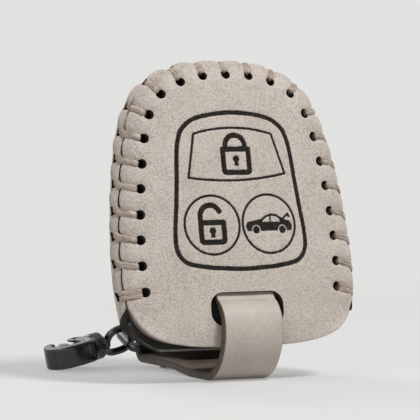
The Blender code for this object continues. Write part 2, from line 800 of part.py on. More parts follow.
def ribbon(path, thickness, round_start):
    """Side profile of a strip of leather along a path, square or round at its start."""
    path = np.array(path)
    tangent = np.gradient(path, axis=0)
    tangent /= np.linalg.norm(tangent, axis=1)[:, None]
    across = np.stack([-tangent[:, 1], tangent[:, 0]], 1) * thickness / 2
    one, other = path + across, path - across
    start = []
    if round_start:
        for step in range(1, 6):
            angle = step / 6 * math.pi
            start.append(path[0] - across[0] * math.cos(angle) - tangent[0] * thickness / 2 * math.sin(angle))
    return [tuple(p) for p in [*start, *one, *other[::-1]]]


def make_strap(hinge):
    points = [(y - HINGE[0], z - HINGE[1]) for y, z in ribbon(strap_path(), STRAP_LEATHER, True)]
    strap = extruded("strap", points, STRAP_WIDTH)
    place(strap, rotation=SIDE_PROFILE_TURN, parent=hinge)
    bore = cylinder("strap_snap_hole", SNAP_SHANK_RADIUS + GAP, 4 * STRAP_LEATHER)
    place(bore, (0, SNAP_Y - HINGE[0], LEG_UNDERSIDE - HINGE[1]), parent=hinge)
    combine(strap, bore, "DIFFERENCE")
    strap.data.materials.append(finish("strap_leather", LEATHER_PALE, 0.5))
    return strap


def make_strap_end(hinge):
    """The returned end, whose tip is rounded in plan."""
    half = STRAP_WIDTH / 2
    tip = -RETURN_LENGTH
    profile = ribbon([np.array((0.0, 0.0)), np.array((tip, 0.0))], STRAP_LEATHER, True)
    end = extruded("strap_end", profile, STRAP_WIDTH)
    place(end, rotation=SIDE_PROFILE_TURN, parent=hinge)
    far = tip - CUT_OVERRUN
    plan = [(-half - CUT_OVERRUN, far), (half + CUT_OVERRUN, far), (half + CUT_OVERRUN, tip + half)]
    for step in range(9):
        angle = step / 8 * math.pi
        plan.append((half * math.cos(angle), tip + half - half * math.sin(angle)))
    plan.append((-half - CUT_OVERRUN, tip + half))
    trim = extruded("tip_trim", plan, 3 * STRAP_LEATHER)
    combine(end, place(trim, parent=hinge), "DIFFERENCE")
    bore = cylinder("end_snap_hole", SNAP_SHANK_RADIUS + GAP, 4 * STRAP_LEATHER)
    combine(end, place(bore, (0, SNAP_Y - RETURN_HINGE_Y, 0), parent=hinge), "DIFFERENCE")
    end.data.materials.append(finish("end_leather", LEATHER_PALE, 0.5))
    return end


# Snap
def make_snap_cap(hinge):
    """Outer cap under the strap, with the shank that goes up through the leather."""
    shank_top = LEG_TOP + GAP + GAP
    profile = [
        (0, shank_top), (SNAP_SHANK_RADIUS, shank_top), (SNAP_SHANK_RADIUS, SNAP_CAP_HEIGHT),
        (SNAP_CAP_RADIUS * 0.94, SNAP_CAP_HEIGHT), (SNAP_CAP_RADIUS, SNAP_CAP_HEIGHT * 0.6),
        (SNAP_CAP_RADIUS * 0.9, SNAP_CAP_HEIGHT * 0.15), (SNAP_CAP_RADIUS * 0.75, 0), (0, 0),
    ]
    cap = turned("snap_cap", profile)
    place(cap, (0, SNAP_Y - HINGE[0], -HINGE[1]), parent=hinge)
    cap.data.materials.append(finish("cap_metal", METAL_BRIGHT, 0.25, 1.0))
    return cap


def make_snap_socket(hinge):
    low, high = LEG_TOP + GAP, LEG_TOP + GAP + SNAP_SOCKET_HEIGHT
    profile = [
        (SNAP_SOCKET_BORE, high), (SNAP_SOCKET_RADIUS * 0.72, high),
        (SNAP_SOCKET_RADIUS, (low + high) / 2), (SNAP_SOCKET_RADIUS, low), (SNAP_SOCKET_BORE, low),
    ]
    socket = turned("snap_socket", profile, closed=True)
    place(socket, (0, SNAP_Y - HINGE[0], -HINGE[1]), parent=hinge)
    socket.data.materials.append(finish("socket_metal", METAL_BRIGHT, 0.3, 1.0))
    return socket


def make_snap_stud(hinge):
    high = -STRAP_HALF - GAP
    base = high - SNAP_BASE_HEIGHT
    tip = base - SNAP_STUD_REACH
    profile = [
        (0, high), (SNAP_BASE_RADIUS, high), (SNAP_BASE_RADIUS, base), (SNAP_STUD_RADIUS * 0.8, base),
        (SNAP_STUD_RADIUS, (base + tip) / 2), (SNAP_STUD_RADIUS * 0.7, tip), (0, tip),
    ]
    stud = turned("snap_stud", profile)
    place(stud, (0, SNAP_Y - RETURN_HINGE_Y, 0), parent=hinge)
    stud.data.materials.append(finish("stud_metal", METAL_BRIGHT, 0.3, 1.0))
    return stud


def make_snap_post(hinge):
    low = STRAP_HALF + GAP
    foot = -STRAP_HALF
    profile = [
        (0, low + SNAP_POST_HEIGHT), (SNAP_POST_RADIUS * 0.6, low + SNAP_POST_HEIGHT * 0.95),
        (SNAP_POST_RADIUS * 0.92, low + SNAP_POST_HEIGHT * 0.6), (SNAP_POST_RADIUS, low),
        (SNAP_SHANK_RADIUS, low), (SNAP_SHANK_RADIUS, foot), (0, foot),
    ]
    post = turned("snap_post", profile)
    place(post, (0, SNAP_Y - RETURN_HINGE_Y, 0), parent=hinge)
    post.data.materials.append(finish("post_metal", METAL_BRIGHT, 0.25, 1.0))
    return post


# D ring
def arc(centre, radius_x, radius_y, start, end, steps):
    return [
        (centre[0] + radius_x * math.cos(a), centre[1] + radius_y * math.sin(a))
        for a in (start + (end - start) * k / steps for k in range(steps + 1))
    ]


def make_d_ring(ring_axis):
    """A closed ring in its own XY plane: bar, two arms and a bow."""
    corner_x = RING_ARM_X - RING_CORNER
    corner_y = RING_CORNER
    quarter = math.pi / 2
    points = arc((corner_x, corner_y), RING_CORNER, RING_CORNER, -quarter, 0, 4)
    points += arc((0, RING_ARM), RING_ARM_X, RING_BOW, 0, math.pi, 14)
    points += arc((-corner_x, corner_y), RING_CORNER, RING_CORNER, math.pi, 3 * quarter, 4)
    ring = tube("d_ring", [(x, y, 0) for x, y in points], RING_WIRE, WIRE_SIDE_STEPS, closed=True)
    place(ring, parent=ring_axis)
    ring.data.materials.append(finish("ring_metal", METAL_DARK, 0.2, 1.0))
    return ring


# Clasp
def make_clasp_eye(roll_axis):
    """Ring, neck and riveted head in one casting."""
    bpy.ops.mesh.primitive_torus_add(
        major_segments=28, minor_segments=8, major_radius=EYE_RADIUS, minor_radius=EYE_WIRE
    )
    eye = bpy.context.active_object
    eye.name = "clasp_eye"
    for group in list(eye.users_collection):
        group.objects.unlink(eye)
    PARTS.objects.link(eye)
    place(eye, parent=roll_axis)
    head_start = BARREL_START + BARREL_LIP + GAP
    head_end = head_start + NECK_HEAD_LENGTH
    profile = [
        (0, head_end), (NECK_HEAD_RADIUS, head_end), (NECK_HEAD_RADIUS, head_start),
        (NECK_RADIUS, head_start), (NECK_RADIUS, EYE_RADIUS), (0, EYE_RADIUS),
    ]
    neck = turned("neck", profile, SWIVEL_SIDES)
    combine(eye, place(neck, rotation=(0, math.pi / 2, 0), parent=roll_axis), "UNION")
    eye.data.materials.append(finish("eye_metal", METAL_DARK, 0.2, 1.0))
    return smoothed(eye)


def hook_points(shares):
    return [(HOOK_START + x * HOOK_LENGTH, y * HOOK_HALF_WIDTH) for x, y in shares]


def make_hook_body(clasp):
    """C-shaped body with a barrel for the swivel and a clevis for the gate."""
    body = bevelled(extruded("hook_body", hook_points(HOOK_SHARES), HOOK_THICKNESS), HOOK_EDGE_ROUND)
    place(body, parent=clasp)
    barrel = cylinder("barrel", BARREL_RADIUS, BARREL_LENGTH, SWIVEL_SIDES)
    place(barrel, (BARREL_START + BARREL_LENGTH / 2, 0, 0), (0, math.pi / 2, 0), clasp)
    combine(body, barrel, "UNION")
    cavity_start = BARREL_START + BARREL_LIP
    cavity_end = cavity_start + NECK_HEAD_LENGTH + 2 * GAP
    profile = [
        (0, cavity_end), (NECK_HEAD_RADIUS + GAP, cavity_end), (NECK_HEAD_RADIUS + GAP, cavity_start),
        (NECK_RADIUS + GAP, cavity_start), (NECK_RADIUS + GAP, BARREL_START - CUT_OVERRUN),
        (0, BARREL_START - CUT_OVERRUN),
    ]
    cavity = turned("barrel_cavity", profile, SWIVEL_SIDES)
    combine(body, place(cavity, rotation=(0, math.pi / 2, 0), parent=clasp), "DIFFERENCE")
    room = GATE_EYE_RADIUS + CLEVIS_CLEARANCE
    slot = box("clevis_cutter", (2 * room, 2 * room, GATE_THICKNESS + 2 * CLEVIS_CLEARANCE))
    place(slot, (GATE_PIVOT[0], GATE_PIVOT[1], 0), parent=clasp)
    combine(body, slot, "DIFFERENCE")
    pin_hole = cylinder("pin_hole", PIN_RADIUS + PIN_CLEARANCE, 2 * HOOK_THICKNESS, 12)
    combine(body, place(pin_hole, (*GATE_PIVOT, 0), parent=clasp), "DIFFERENCE")
    body.data.materials.append(finish("hook_metal", METAL_DARK, 0.2, 1.0))
    return smoothed(body)


def make_hook_gate(gate_axis):
    """Gate bar with its thumb pad, and an eye that leaves room for the spring."""
    points = [(x - GATE_PIVOT[0], y - GATE_PIVOT[1]) for x, y in hook_points(GATE_SHARES)]
    eye = arc((0, 0), GATE_EYE_RADIUS, GATE_EYE_RADIUS, math.pi / 4, 2 * math.pi - math.pi / 4, 10)
    gate = extruded("hook_gate", points + eye, GATE_THICKNESS)
    place(gate, parent=gate_axis)
    spring_room = cylinder("spring_room", GATE_EYE_RADIUS + GAP, GATE_THICKNESS, 16)
    combine(gate, place(spring_room, (0, 0, GATE_THICKNESS / 2), parent=gate_axis), "DIFFERENCE")
    bore = cylinder("gate_bore", PIN_RADIUS + PIN_CLEARANCE, 2 * HOOK_THICKNESS, 12)
    combine(gate, place(bore, parent=gate_axis), "DIFFERENCE")
    gate.data.materials.append(finish("gate_metal", METAL_DARK, 0.25, 1.0))
    return gate


def make_gate_pin(clasp):
    pin = cylinder("gate_pin", PIN_RADIUS, HOOK_THICKNESS - PIN_SHORTENING, 12)
    place(pin, (*GATE_PIVOT, 0), parent=clasp)
    pin.data.materials.append(finish("pin_metal", METAL_BRIGHT, 0.3, 1.0))
    return smoothed(pin)


def make_gate_spring(clasp):
    """Torsion spring round the pin, beside the gate's eye, with a short leg at each end."""
    start_z = SPRING_WIRE + GAP
    count = int(SPRING_TURNS * SPRING_POINTS_PER_TURN)
    points = [(SPRING_RADIUS, -SPRING_LEG / 2, start_z)]
    for k in range(count + 1):
        angle = 2 * math.pi * k / SPRING_POINTS_PER_TURN
        z = start_z + SPRING_PITCH * k / SPRING_POINTS_PER_TURN
        points.append((SPRING_RADIUS * math.cos(angle), SPRING_RADIUS * math.sin(angle), z))
    last = points[-1]
    points.append((last[0], last[1] - SPRING_LEG / 4, last[2]))
    spring = tube("gate_spring", points, SPRING_WIRE, 1)
    place(spring, (*GATE_PIVOT, 0), parent=clasp)
    spring.data.materials.append(finish("spring_steel", METAL_BRIGHT, 0.35, 1.0))
    return spring


def clasp_slope(height):
    """How far the clasp tips down so that the lower edge of its tip meets the floor."""
    reach = HOOK_START + HOOK_LENGTH
    half = HOOK_THICKNESS / 2
    return math.asin(height / math.hypot(reach, half)) - math.atan2(half, reach)


def clasp_line():
    """Place and turn of the clasp's line in the world, from the D ring's left arm."""
    link = Vector((
        -RING_ARM_X, STRAP_TURN_Y + LINK_REACH * math.cos(RING_TILT),
        TURN_Z + LINK_REACH * math.sin(RING_TILT),
    ))
    play = EYE_RADIUS - EYE_WIRE - RING_WIRE - GAP
    slope = clasp_slope(link.z)
    for _ in range(4):
        turn = Matrix.Rotation(CLASP_HEADING, 4, "Z") @ Matrix.Rotation(slope, 4, "Y")
        centre = link + turn @ Vector((play, 0, 0))
        slope = clasp_slope(centre.z)
    return link, centre, (0, slope, CLASP_HEADING)


def main():
    case = add_empty("case_lean", (0, CASE_SETBACK, CASE_HEIGHT), (-CASE_LEAN, 0, 0))
    make_front_panel(case)
    make_back_shell(case)
    make_front_lining(case)
    make_back_lining(case)
    make_seam_thread(case)
    make_strap_root(case)
    strap_axis = add_empty("strap_axis", (0, HINGE[0], HINGE[1]))
    make_strap(strap_axis)
    make_snap_cap(strap_axis)
    make_snap_socket(strap_axis)
    end_axis = add_empty("strap_end_axis", (0, RETURN_HINGE_Y, RETURN_Z))
    make_strap_end(end_axis)
    make_snap_stud(end_axis)
    make_snap_post(end_axis)
    ring_axis = add_empty("ring_axis", (0, STRAP_TURN_Y, TURN_Z), (RING_TILT, 0, 0))
    make_d_ring(ring_axis)
    link, centre, turn = clasp_line()
    add_empty("link_axis", link, (RING_TILT, 0, 0))
    clasp = add_empty("clasp_axis", centre, turn)
    make_clasp_eye(add_empty("eye_roll", (0, 0, 0), (EYE_ROLL, 0, 0), clasp))
    make_hook_body(clasp)
    gate_axis = add_empty("gate_axis", (*GATE_PIVOT, 0), parent=clasp)
    make_hook_gate(gate_axis)
    make_gate_pin(clasp)
    make_gate_spring(clasp)


main()
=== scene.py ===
"""Looks of a hand-laced leather key case, its strap, D ring and swivel clasp.

Lengths are in metres. The case is made in its own leaning frame, where X runs to the right,
Y to the back and Z up along the front, and every mesh is then turned into the world.
"""

import json
import math

import bmesh
import bpy
import numpy as np
from mathutils import Matrix, Vector


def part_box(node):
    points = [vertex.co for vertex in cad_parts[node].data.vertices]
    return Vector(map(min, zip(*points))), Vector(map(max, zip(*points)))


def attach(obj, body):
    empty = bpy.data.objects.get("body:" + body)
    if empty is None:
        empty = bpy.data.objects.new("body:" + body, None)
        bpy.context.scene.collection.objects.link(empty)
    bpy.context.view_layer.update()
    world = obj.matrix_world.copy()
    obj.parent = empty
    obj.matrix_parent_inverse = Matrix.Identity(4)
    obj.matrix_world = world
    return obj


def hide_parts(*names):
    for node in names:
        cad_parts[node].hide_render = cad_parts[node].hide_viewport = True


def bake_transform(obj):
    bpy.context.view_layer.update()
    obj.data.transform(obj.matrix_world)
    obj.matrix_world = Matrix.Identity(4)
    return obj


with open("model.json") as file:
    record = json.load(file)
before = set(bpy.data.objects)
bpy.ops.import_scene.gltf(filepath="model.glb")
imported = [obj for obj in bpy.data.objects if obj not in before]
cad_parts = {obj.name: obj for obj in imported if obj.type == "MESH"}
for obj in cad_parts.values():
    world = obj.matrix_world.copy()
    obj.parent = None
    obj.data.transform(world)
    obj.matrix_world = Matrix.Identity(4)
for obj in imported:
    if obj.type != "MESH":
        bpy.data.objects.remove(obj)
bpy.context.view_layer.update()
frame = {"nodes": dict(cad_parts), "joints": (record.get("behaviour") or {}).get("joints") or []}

JOINTS = {joint["name"]: joint for joint in frame["joints"]}

# Case, in its leaning frame
CASE_HALF_WIDTH = 0.02555
CASE_TOP = 0.0207
CASE_BOTTOM = 0.0381
CASE_LEAN = math.radians(12.4)
CASE_LIFT = 0.00709
CASE_HEIGHT = CASE_LIFT + CASE_BOTTOM * math.cos(CASE_LEAN)
CASE_SETBACK = -0.00125
OUTLINE_SHARES = (
    (0.000, 1.000), (0.165, 0.995), (0.317, 0.972), (0.477, 0.910), (0.600, 0.832), (0.701, 0.730),
    (0.778, 0.600), (0.831, 0.460), (0.872, 0.299), (0.908, 0.095), (0.938, -0.066),
    (0.965, -0.197), (0.986, -0.346), (0.998, -0.472), (1.000, -0.577), (0.994, -0.682),
    (0.976, -0.761), (0.947, -0.814), (0.900, -0.866), (0.830, -0.913), (0.728, -0.950),
    (0.603, -0.974), (0.450, -0.990), (0.235, -0.998), (0.000, -1.000),
)
MIDDLE = np.array((0, -0.209 * CASE_BOTTOM))
LEAST_SQUARENESS = 0.5
AROUND = 512
FINE_AROUND = 720
COARSE_AROUND = 128
STAND = Matrix.Translation((0, CASE_SETBACK, CASE_HEIGHT))
LEAN_FRAME = STAND @ Matrix.Rotation(-CASE_LEAN, 4, "X")

# Front leather
FRONT_LEATHER = 0.0016
CROWN_RISE = 0.00195
CROWN_RADIUS_ACROSS = 0.150
CROWN_RADIUS_ALONG = 0.600
CROWN_CENTRE = -0.0020
ROLL_WIDTH = 0.0050
ROLL_POWER = 2.5
SEAM_SETBACK = 0.0015
MOUTH_SETBACK = 0.0001
SETBACK_FADE_SHARES = (-0.940, -0.700)
RIM_WIDTH = 0.0060
RIM_STEP = 0.00025
EDGE_ROUND = 0.00022
EDGE_WEAR_SHARE = 0.3
DRAWN_RINGS = 106
PLAIN_RINGS = 14
DRAWN_SHARE = 0.80
BACK_RING_INSETS = (EDGE_ROUND, 0.0010, 0.0020, 0.0032, 0.0046)
BACK_RING_SHARES = (0.75, 0.55, 0.35, 0.15)
FACE_DEPTHS = (0.0007, 0.0008)
SLOT_WIDTH = 0.0162
SLOT_HEIGHT = 0.0068
SLOT_TOP = 0.0271
SLOT_CORNER = 0.0027

# Shell
SHELL_LEATHER = 0.0014
SHELL_DEPTH = 0.0154
SHELL_STRAIGHT = 0.0046
SHELL_ROUND = 0.0110
SHELL_TURN_IN = math.radians(56)
SHELL_TURN_RADIUS = 0.0021
SHELL_EDGE_STEP = 0.0003
SHELL_BULGE_FADE = 0.0045
SHELL_TUCK = 0.00115
SHELL_TUCK_FADE = 0.0075
SHELL_TUCK_HEIGHTS = (0.000, 0.0165)
SHELL_DOME = 0.0005
SHELL_TURN_RINGS = 12
SHELL_WALL_RINGS = 30
FADE_POWER = 1.5
SHELL_STRETCH = 2.0
DOME_RING_SHARES = (0.8, 0.55, 0.3, 0.12)
SEAM_GAP = 0.00035
SEAM_END_SHARE = -0.720
SIDE_GAP_SHARES = (
    (-0.500, -0.715), (0.085, -0.722), (0.110, -0.745), (0.150, -0.785), (0.225, -0.813),
    (0.400, -0.826), (0.570, -0.835), (0.750, -0.880), (1.050, -1.040),
)
MOUTH_SHARES = (
    (1.120, -0.825), (0.960, -0.835), (0.860, -0.858), (0.700, -0.905), (0.550, -0.953),
    (0.430, -0.985), (0.270, -1.008), (0.000, -1.018),
)

# Linings
GAP = 0.0003
LINING = 0.0005
FRONT_LINING = 0.0015
LINING_SEAM_MARGIN = 0.0058
LINING_MOUTH_MARGIN = 0.0010
LINING_BLEND_SHARES = (-0.960, -0.820)
SHELL_LINING_START = 0.0070
LINING_RING_SHARES = (1.0, 0.985, 0.96, 0.92, 0.86, 0.75, 0.6, 0.4, 0.2)

# Lacing
HOLES_EACH_SIDE = 11
HOLE_PITCH = 0.00518
HOLE_MARGIN_TOP = 0.0032
HOLE_MARGIN_END = 0.0039
HOLE_RADIUS = 0.00100
SHELL_HOLE_MARGIN = -0.0001
STITCH_SLANT = 0.0011
END_LEAN = 0.15
RIM_SLANT_SHARE = 0.4
LACED_SHARES = (-0.80, -0.74)
SHELL_LACED_SHARES = (-0.76, -0.71)
THREAD_WIDTH = 0.00138
THREAD_THICKNESS = 0.00066
THREAD_REST_SLANT = -0.10
THREAD_END_SLANT = 1.30
RIM_REST_SHARE = 0.45
OVER_RIM_SHARES = (0.85, 0.66)
NEAR_HOLE_SHARES = (0.25, 0.88)
ENTRY_SEAT_SHARE = 0.2
FRONT_LEG_SHARE = 0.4
SHELL_LEG_SHARE = 0.6
HOLE_SQUEEZE = 1.4
FRONT_STRAND_SHARES = ((0.93, 0.6), (0.78, 1.0), (0.58, 1.0), (0.38, 1.0), (0.18, 1.0))
END_STRAND_WIDTH = 0.00108
END_STRAND_SHIFT = 0.00052
TROUGH_DEPTH = 0.00040
TROUGH_WIDTH = 0.00080
SHELL_TROUGH = 0.00038
SHELL_TROUGH_FADE = 0.0010
SHELL_PUFF = 0.00042
SHELL_PUFF_FADE = 0.0016
PAST_HOLE_SHARE = 1.15
NOTCH_DEPTH = 0.00042
NOTCH_WIDTH = 0.00095
NOTCH_PUFF = 0.00030
NOTCH_REACH = 0.0024
PIT_DEPTH = 0.00028
PIT_WIDTH = 0.00130
PUFF_HEIGHT = 0.00026
PUFF_WIDTH = 0.0013
PUFF_CLEARANCE = 0.0015
WRINKLE_HEIGHT = 0.000045
WRINKLE_REACH = 0.0017
WRINKLE_WIDTH = 0.00055
WRINKLES_AROUND = 15
SECOND_WRINKLES = (9, 0.6)
PULL_WIDTH = 0.0016
PULL_FADE = 0.0030

# Burnt drawing on the front
FRAME_LINE = 0.00094
THIN_LINE = 0.00051
LOCK_LINE = 0.00112
BURN_DEPTH = 0.00014
BURN_SOFTNESS = 0.00007
BURNT_CORE = 0.85
DRAWING_BOX = (0.0165, -0.0240, 0.0108)

# Strap
STRAP_WIDTH = 0.0130
STRAP_LEATHER = 0.0018
STRAP_HALF = STRAP_LEATHER / 2
STRAP_CORNER = 0.00032
CORNER_TONE_START = 0.8
CORNER_TONE_FADE = 0.5
TIP_SHARE = 0.04
STRAP_FOOT = 0.0065
STRAP_TAPER_SHARES = (0.60, 0.72, 0.84, 0.94)
STRAP_BULGE = 0.0033
LOOP_HEIGHT = 0.0093
LOOP_SQUARENESS = 1.85
LEG_RISE_LENGTH = 0.0130
FRONT_LEG_LEAD_SHARES = (0.62, 0.25)
FRONT_LEG_HANDLE_SHARE = 0.45
FRONT_LEG_STEPS = 8
BEND_STEPS = 14
RISE_STEPS = 6
ROOT_LENGTH = 0.0150
ROOT_LEATHER = 0.0007
ROOT_SEAT = 0.00045
ROOT_STEP_SHARES = (0.0, 0.3, 0.6, 0.85)
RETURN_LENGTH = 0.0135
RETURN_STEP_SHARES = (0.12, 0.35, 0.6, 0.8, 0.9, 1.0)

# Fittings
SNAP_CAP_HEIGHT = 0.0007
RING_WIRE = 0.0010
RING_ARM = 0.0060
RING_BOW = 0.0045
RING_CORNER = 0.0014
RING_TILT = math.radians(20.0)
EYE_WIRE = 0.0008
EYE_RADIUS = 0.0032
EYE_SQUARENESS = 2.8
EYE_STEPS = 72
EYE_ROLL = math.radians(55.0)
NECK_RADIUS = 0.0012
NECK_HEAD_RADIUS = 0.0019
NECK_HEAD_LENGTH = 0.0008
NECK_HEAD_SHARES = (0.9, 0.8)
NECK_ROOT_SHARES = ((1, 1.6), (1.25, 1), (1.35, 0.4), (0.9, -0.4), (0, -0.5))
BARREL_START = 0.0047
BARREL_LIP = 0.0007
BARREL_RADIUS = 0.0028
BARREL_LENGTH = 0.0033
HOOK_START = 0.0070
HOOK_LENGTH = 0.0104
HOOK_HALF_WIDTH = 0.0043
HOOK_THICKNESS = 0.0044
HOOK_SHARES = (
    (0.000, -0.530), (0.080, -0.950), (0.290, -1.000), (0.295, -0.440), (0.255, -0.310),
    (0.240, 0.110), (0.310, 0.420), (0.485, 0.510), (0.700, 0.445), (0.815, 0.135),
    (0.835, -0.220), (0.780, -0.490), (0.700, -0.580), (0.675, -0.600), (0.675, -0.955),
    (0.785, -0.935), (0.910, -0.690), (0.990, -0.270), (1.000, 0.130), (0.935, 0.580),
    (0.795, 0.890), (0.525, 1.000), (0.245, 0.955), (0.095, 0.820), (0.000, 0.530),
)
GATE_SHARES = (
    (0.310, -0.960), (0.350, -1.240), (0.455, -1.240), (0.500, -0.960), (0.650, -0.955),
    (0.650, -0.560), (0.735, -0.480), (0.735, -0.270), (0.600, -0.270), (0.545, -0.560),
    (0.290, -0.500),
)
GATE_PIVOT = (HOOK_START + 0.175 * HOOK_LENGTH, -0.667 * HOOK_HALF_WIDTH)
GATE_THICKNESS = 0.0028
GATE_EYE_RADIUS = 0.0014
CLEVIS_CLEARANCE = 0.0003
PIN_HOLE_RADIUS = 0.0007
HOOK_EDGE = 0.0007
CAST_GRAIN = 0.00011
HOOK_POLISH = (46, 0.00010)
GATE_POLISH = (20, 0.00005)

# Colours, as linear values
LEATHER_LIGHT = (0.545, 0.485, 0.435)
LEATHER_MID = (0.495, 0.438, 0.390)
STRAP_DEEP = (0.430, 0.378, 0.334)
LEATHER_DARK = (0.345, 0.300, 0.262)
LEATHER_CREASE = (0.285, 0.246, 0.214)
LEATHER_PORE = (0.150, 0.124, 0.104)
BURNT = (0.012, 0.010, 0.009)
BURNT_ASH = (0.040, 0.034, 0.030)
EDGE_DARK = (0.055, 0.039, 0.029)
EDGE_LIGHT = (0.150, 0.112, 0.084)
# Painted shade: hole walls darker than the other cut edges, standing in for the shade down each
# hole; the raw fibres on them are real
HOLE_WALL_PAINTED_SHADE = (0.030, 0.023, 0.018)
# Painted shade: near-black tone of the shell's cut edges at the mouth and side gaps, standing in
# for the shade on them
SHELL_CUT_PAINTED_SHADE = (0.024, 0.018, 0.014)
FLESH = (0.260, 0.192, 0.150)
FLESH_DARK = (0.120, 0.086, 0.066)
# Suede lining tone: a real lining, painted near black as shade for the dark inside of the case
SUEDE_AND_PAINTED_SHADE = (0.015, 0.016, 0.014)
THREAD_LIGHT = (0.500, 0.412, 0.335)
THREAD_DARK = (0.140, 0.100, 0.074)
DARK_NICKEL = (0.078, 0.081, 0.088)
NICKEL = (0.600, 0.600, 0.610)

# Grain, in cells to a metre, its pores and creases as shares of that, and raised heights
CASE_GRAIN = 2500
STRAP_GRAIN = 3000
PORE_SHARE = 1.9
CREASE_SHARE = 0.36
FRONT_GRAIN_DEPTH = 0.12
PEBBLE_HEIGHT = 0.00004
PORE_HEIGHT = 0.00002
FIBRE_HEIGHT = 0.00012
FLESH_HEIGHT = 0.00016
NAP_HEIGHT = 0.00010
CASTING_HEIGHT = 0.000006
CUT_FIBRE_TONE = 2.2
WORN_METAL_TONE = 0.72

# Stage. A lamp has its place, size and power
ROOM_STRENGTH = 0.30
ROOM_TONE = (1.0, 0.99, 0.98, 1)
BACKDROP = (0.76, 0.76, 0.75)
FLOOR_TONE = (0.66, 0.66, 0.65)
FLOOR_FADE = (0.03, 0.36)
FLOOR_NEAR_SHARE = 0.42
FLOOR_DROP = 0.00002
FLOOR_SIZE = 6.0
LAMPS = (
    ("key", (0.20, -0.40, 0.62), 0.20, 4.6),
    ("fill", (-0.60, -0.30, 0.30), 0.40, 0.7),
    ("back", (-0.10, 0.50, 0.42), 0.40, 1.3),
)
CAMERA_PLACE = (-0.2865, -0.58895, 0.0636)
CAMERA_TURN = (87.424, 0.012, -25.616)
CAMERA_LENS = 277.1


# Shares, curves and distances
def unit(rows):
    return rows / np.linalg.norm(rows, axis=1)[:, None]


def eased(share):
    """A share with a soft start and a soft end."""
    return share * share * (3 - 2 * share)


def faded(values, low, high):
    """0 up to low, 1 from high on, and straight between."""
    return np.clip((values - low) / (high - low), 0, 1)


def hill(distance, width):
    return np.exp(-(distance / width) ** 2)


def lengths_along(points):
    return np.concatenate([[0], np.cumsum(np.linalg.norm(np.diff(points, axis=0), axis=1))])


def curve_inside(controls, steps):
    """A smooth curve through all the controls but the first and the last, which steer its ends."""
    t = (np.arange(steps) / steps)[:, None]
    return np.vstack([
        0.5 * (2 * p1 + (p2 - p0) * t + (2 * p0 - 5 * p1 + 4 * p2 - p3) * t * t
               + (3 * p1 - p0 - 3 * p2 + p3) * t ** 3)
        for p0, p1, p2, p3 in zip(controls, controls[1:], controls[2:], controls[3:])
    ])


def spline_through(points, steps):
    """A closed smooth curve through the points, with so many steps between each pair."""
    points = np.array(points)
    return curve_inside(np.vstack([points[-1:], points, points[:2]]), steps)


def resampled(points, values, steps):
    """Points and values along an open smooth curve, with so many steps between each pair."""
    joined = np.hstack([points, values])
    first, last = 2 * joined[0] - joined[1], 2 * joined[-1] - joined[-2]
    out = np.vstack([curve_inside(np.vstack([first, joined, last]), steps), joined[-1:]])
    return out[:, :3], out[:, 3:]


def evenly_spaced(loop, count):
    closed = np.vstack([loop, loop[:1]])
    lengths = lengths_along(closed)
    targets = np.linspace(0, lengths[-1], count, endpoint=False)
    return np.stack([np.interp(targets, lengths, closed[:, k]) for k in range(2)], 1)


def mirrored_loop(half, steps=16):
    """A closed smooth loop from its right half, which starts and ends on the middle line."""
    return spline_through([*half, *((-x, z) for x, z in half[-2:0:-1])], steps)


def arc_points(centre, radius, start, end, steps):
    return [
        (centre[0] + radius * math.cos(a), centre[1] + radius * math.sin(a))
        for a in (math.radians(start + (end - start) * k / steps) for k in range(steps + 1))
    ]


def distance_to_segments(points, starts, ends):
    """Least distance of each (x, z) point to any of the segments."""
    best = np.full(len(points), np.inf)
    for a, b in zip(starts, ends):
        along = b - a
        share = np.clip(((points - a) @ along) / (along @ along), 0, 1)
        best = np.minimum(best, np.linalg.norm(points - a - share[:, None] * along, axis=1))
    return best


def distance_to_spots(points, spots):
    """Least distance of each (x, z) point to any spot, each a very short upright dash."""
    return distance_to_segments(points, spots, spots + np.array((0, GAP / 10)))


def line_distance(points, line, closed=False):
    line = np.array(line)
    ends = np.roll(line, -1, axis=0) if closed else line[1:]
    return distance_to_segments(points, line[: len(ends)], ends)


# Outline of the case
def case_outline(stretch=1.0, count=AROUND):
    """Evenly spaced (x, z) points of the case's edge, from the top and clockwise from the front."""
    half = []
    for x, z in OUTLINE_SHARES:
        z += min(0.0, z - SEAM_END_SHARE) * (stretch - 1)
        half.append((x * CASE_HALF_WIDTH, z * (CASE_TOP if z > 0 else CASE_BOTTOM)))
    return evenly_spaced(mirrored_loop(half), count)


def inward_normals(loop):
    tangent = unit(np.roll(loop, -1, axis=0) - np.roll(loop, 1, axis=0))
    return np.stack([tangent[:, 1], -tangent[:, 0]], 1)


def inset(loop, distance):
    """Moves each point towards the middle until it lies a distance inside the loop."""
    arm = unit(MIDDLE - loop)
    squareness = np.maximum(LEAST_SQUARENESS, np.sum(arm * inward_normals(loop), axis=1))
    return loop + arm * (distance / squareness)[:, None]


def shrunk(loop, share):
    """A loop drawn towards the middle, to a share of its size."""
    return MIDDLE + (loop - MIDDLE) * share


OUTLINE = case_outline()
FINE_OUTLINE = case_outline(count=FINE_AROUND)
FINE_NORMALS = inward_normals(FINE_OUTLINE)
FINE_STEP = float(np.linalg.norm(FINE_OUTLINE[1] - FINE_OUTLINE[0]))


def edge_distance(points):
    return line_distance(points, OUTLINE[:: AROUND // COARSE_AROUND], True)


# Places of the lacing
def hole_margin(number):
    return HOLE_MARGIN_TOP + (HOLE_MARGIN_END - HOLE_MARGIN_TOP) * number / HOLES_EACH_SIDE


def seam_point(index, margin, shift=0.0):
    """(x, z) at a margin inside the edge, moved along it clockwise by a length."""
    moved = (index + round(shift / FINE_STEP)) % len(FINE_OUTLINE)
    return FINE_OUTLINE[moved] + margin * FINE_NORMALS[moved]


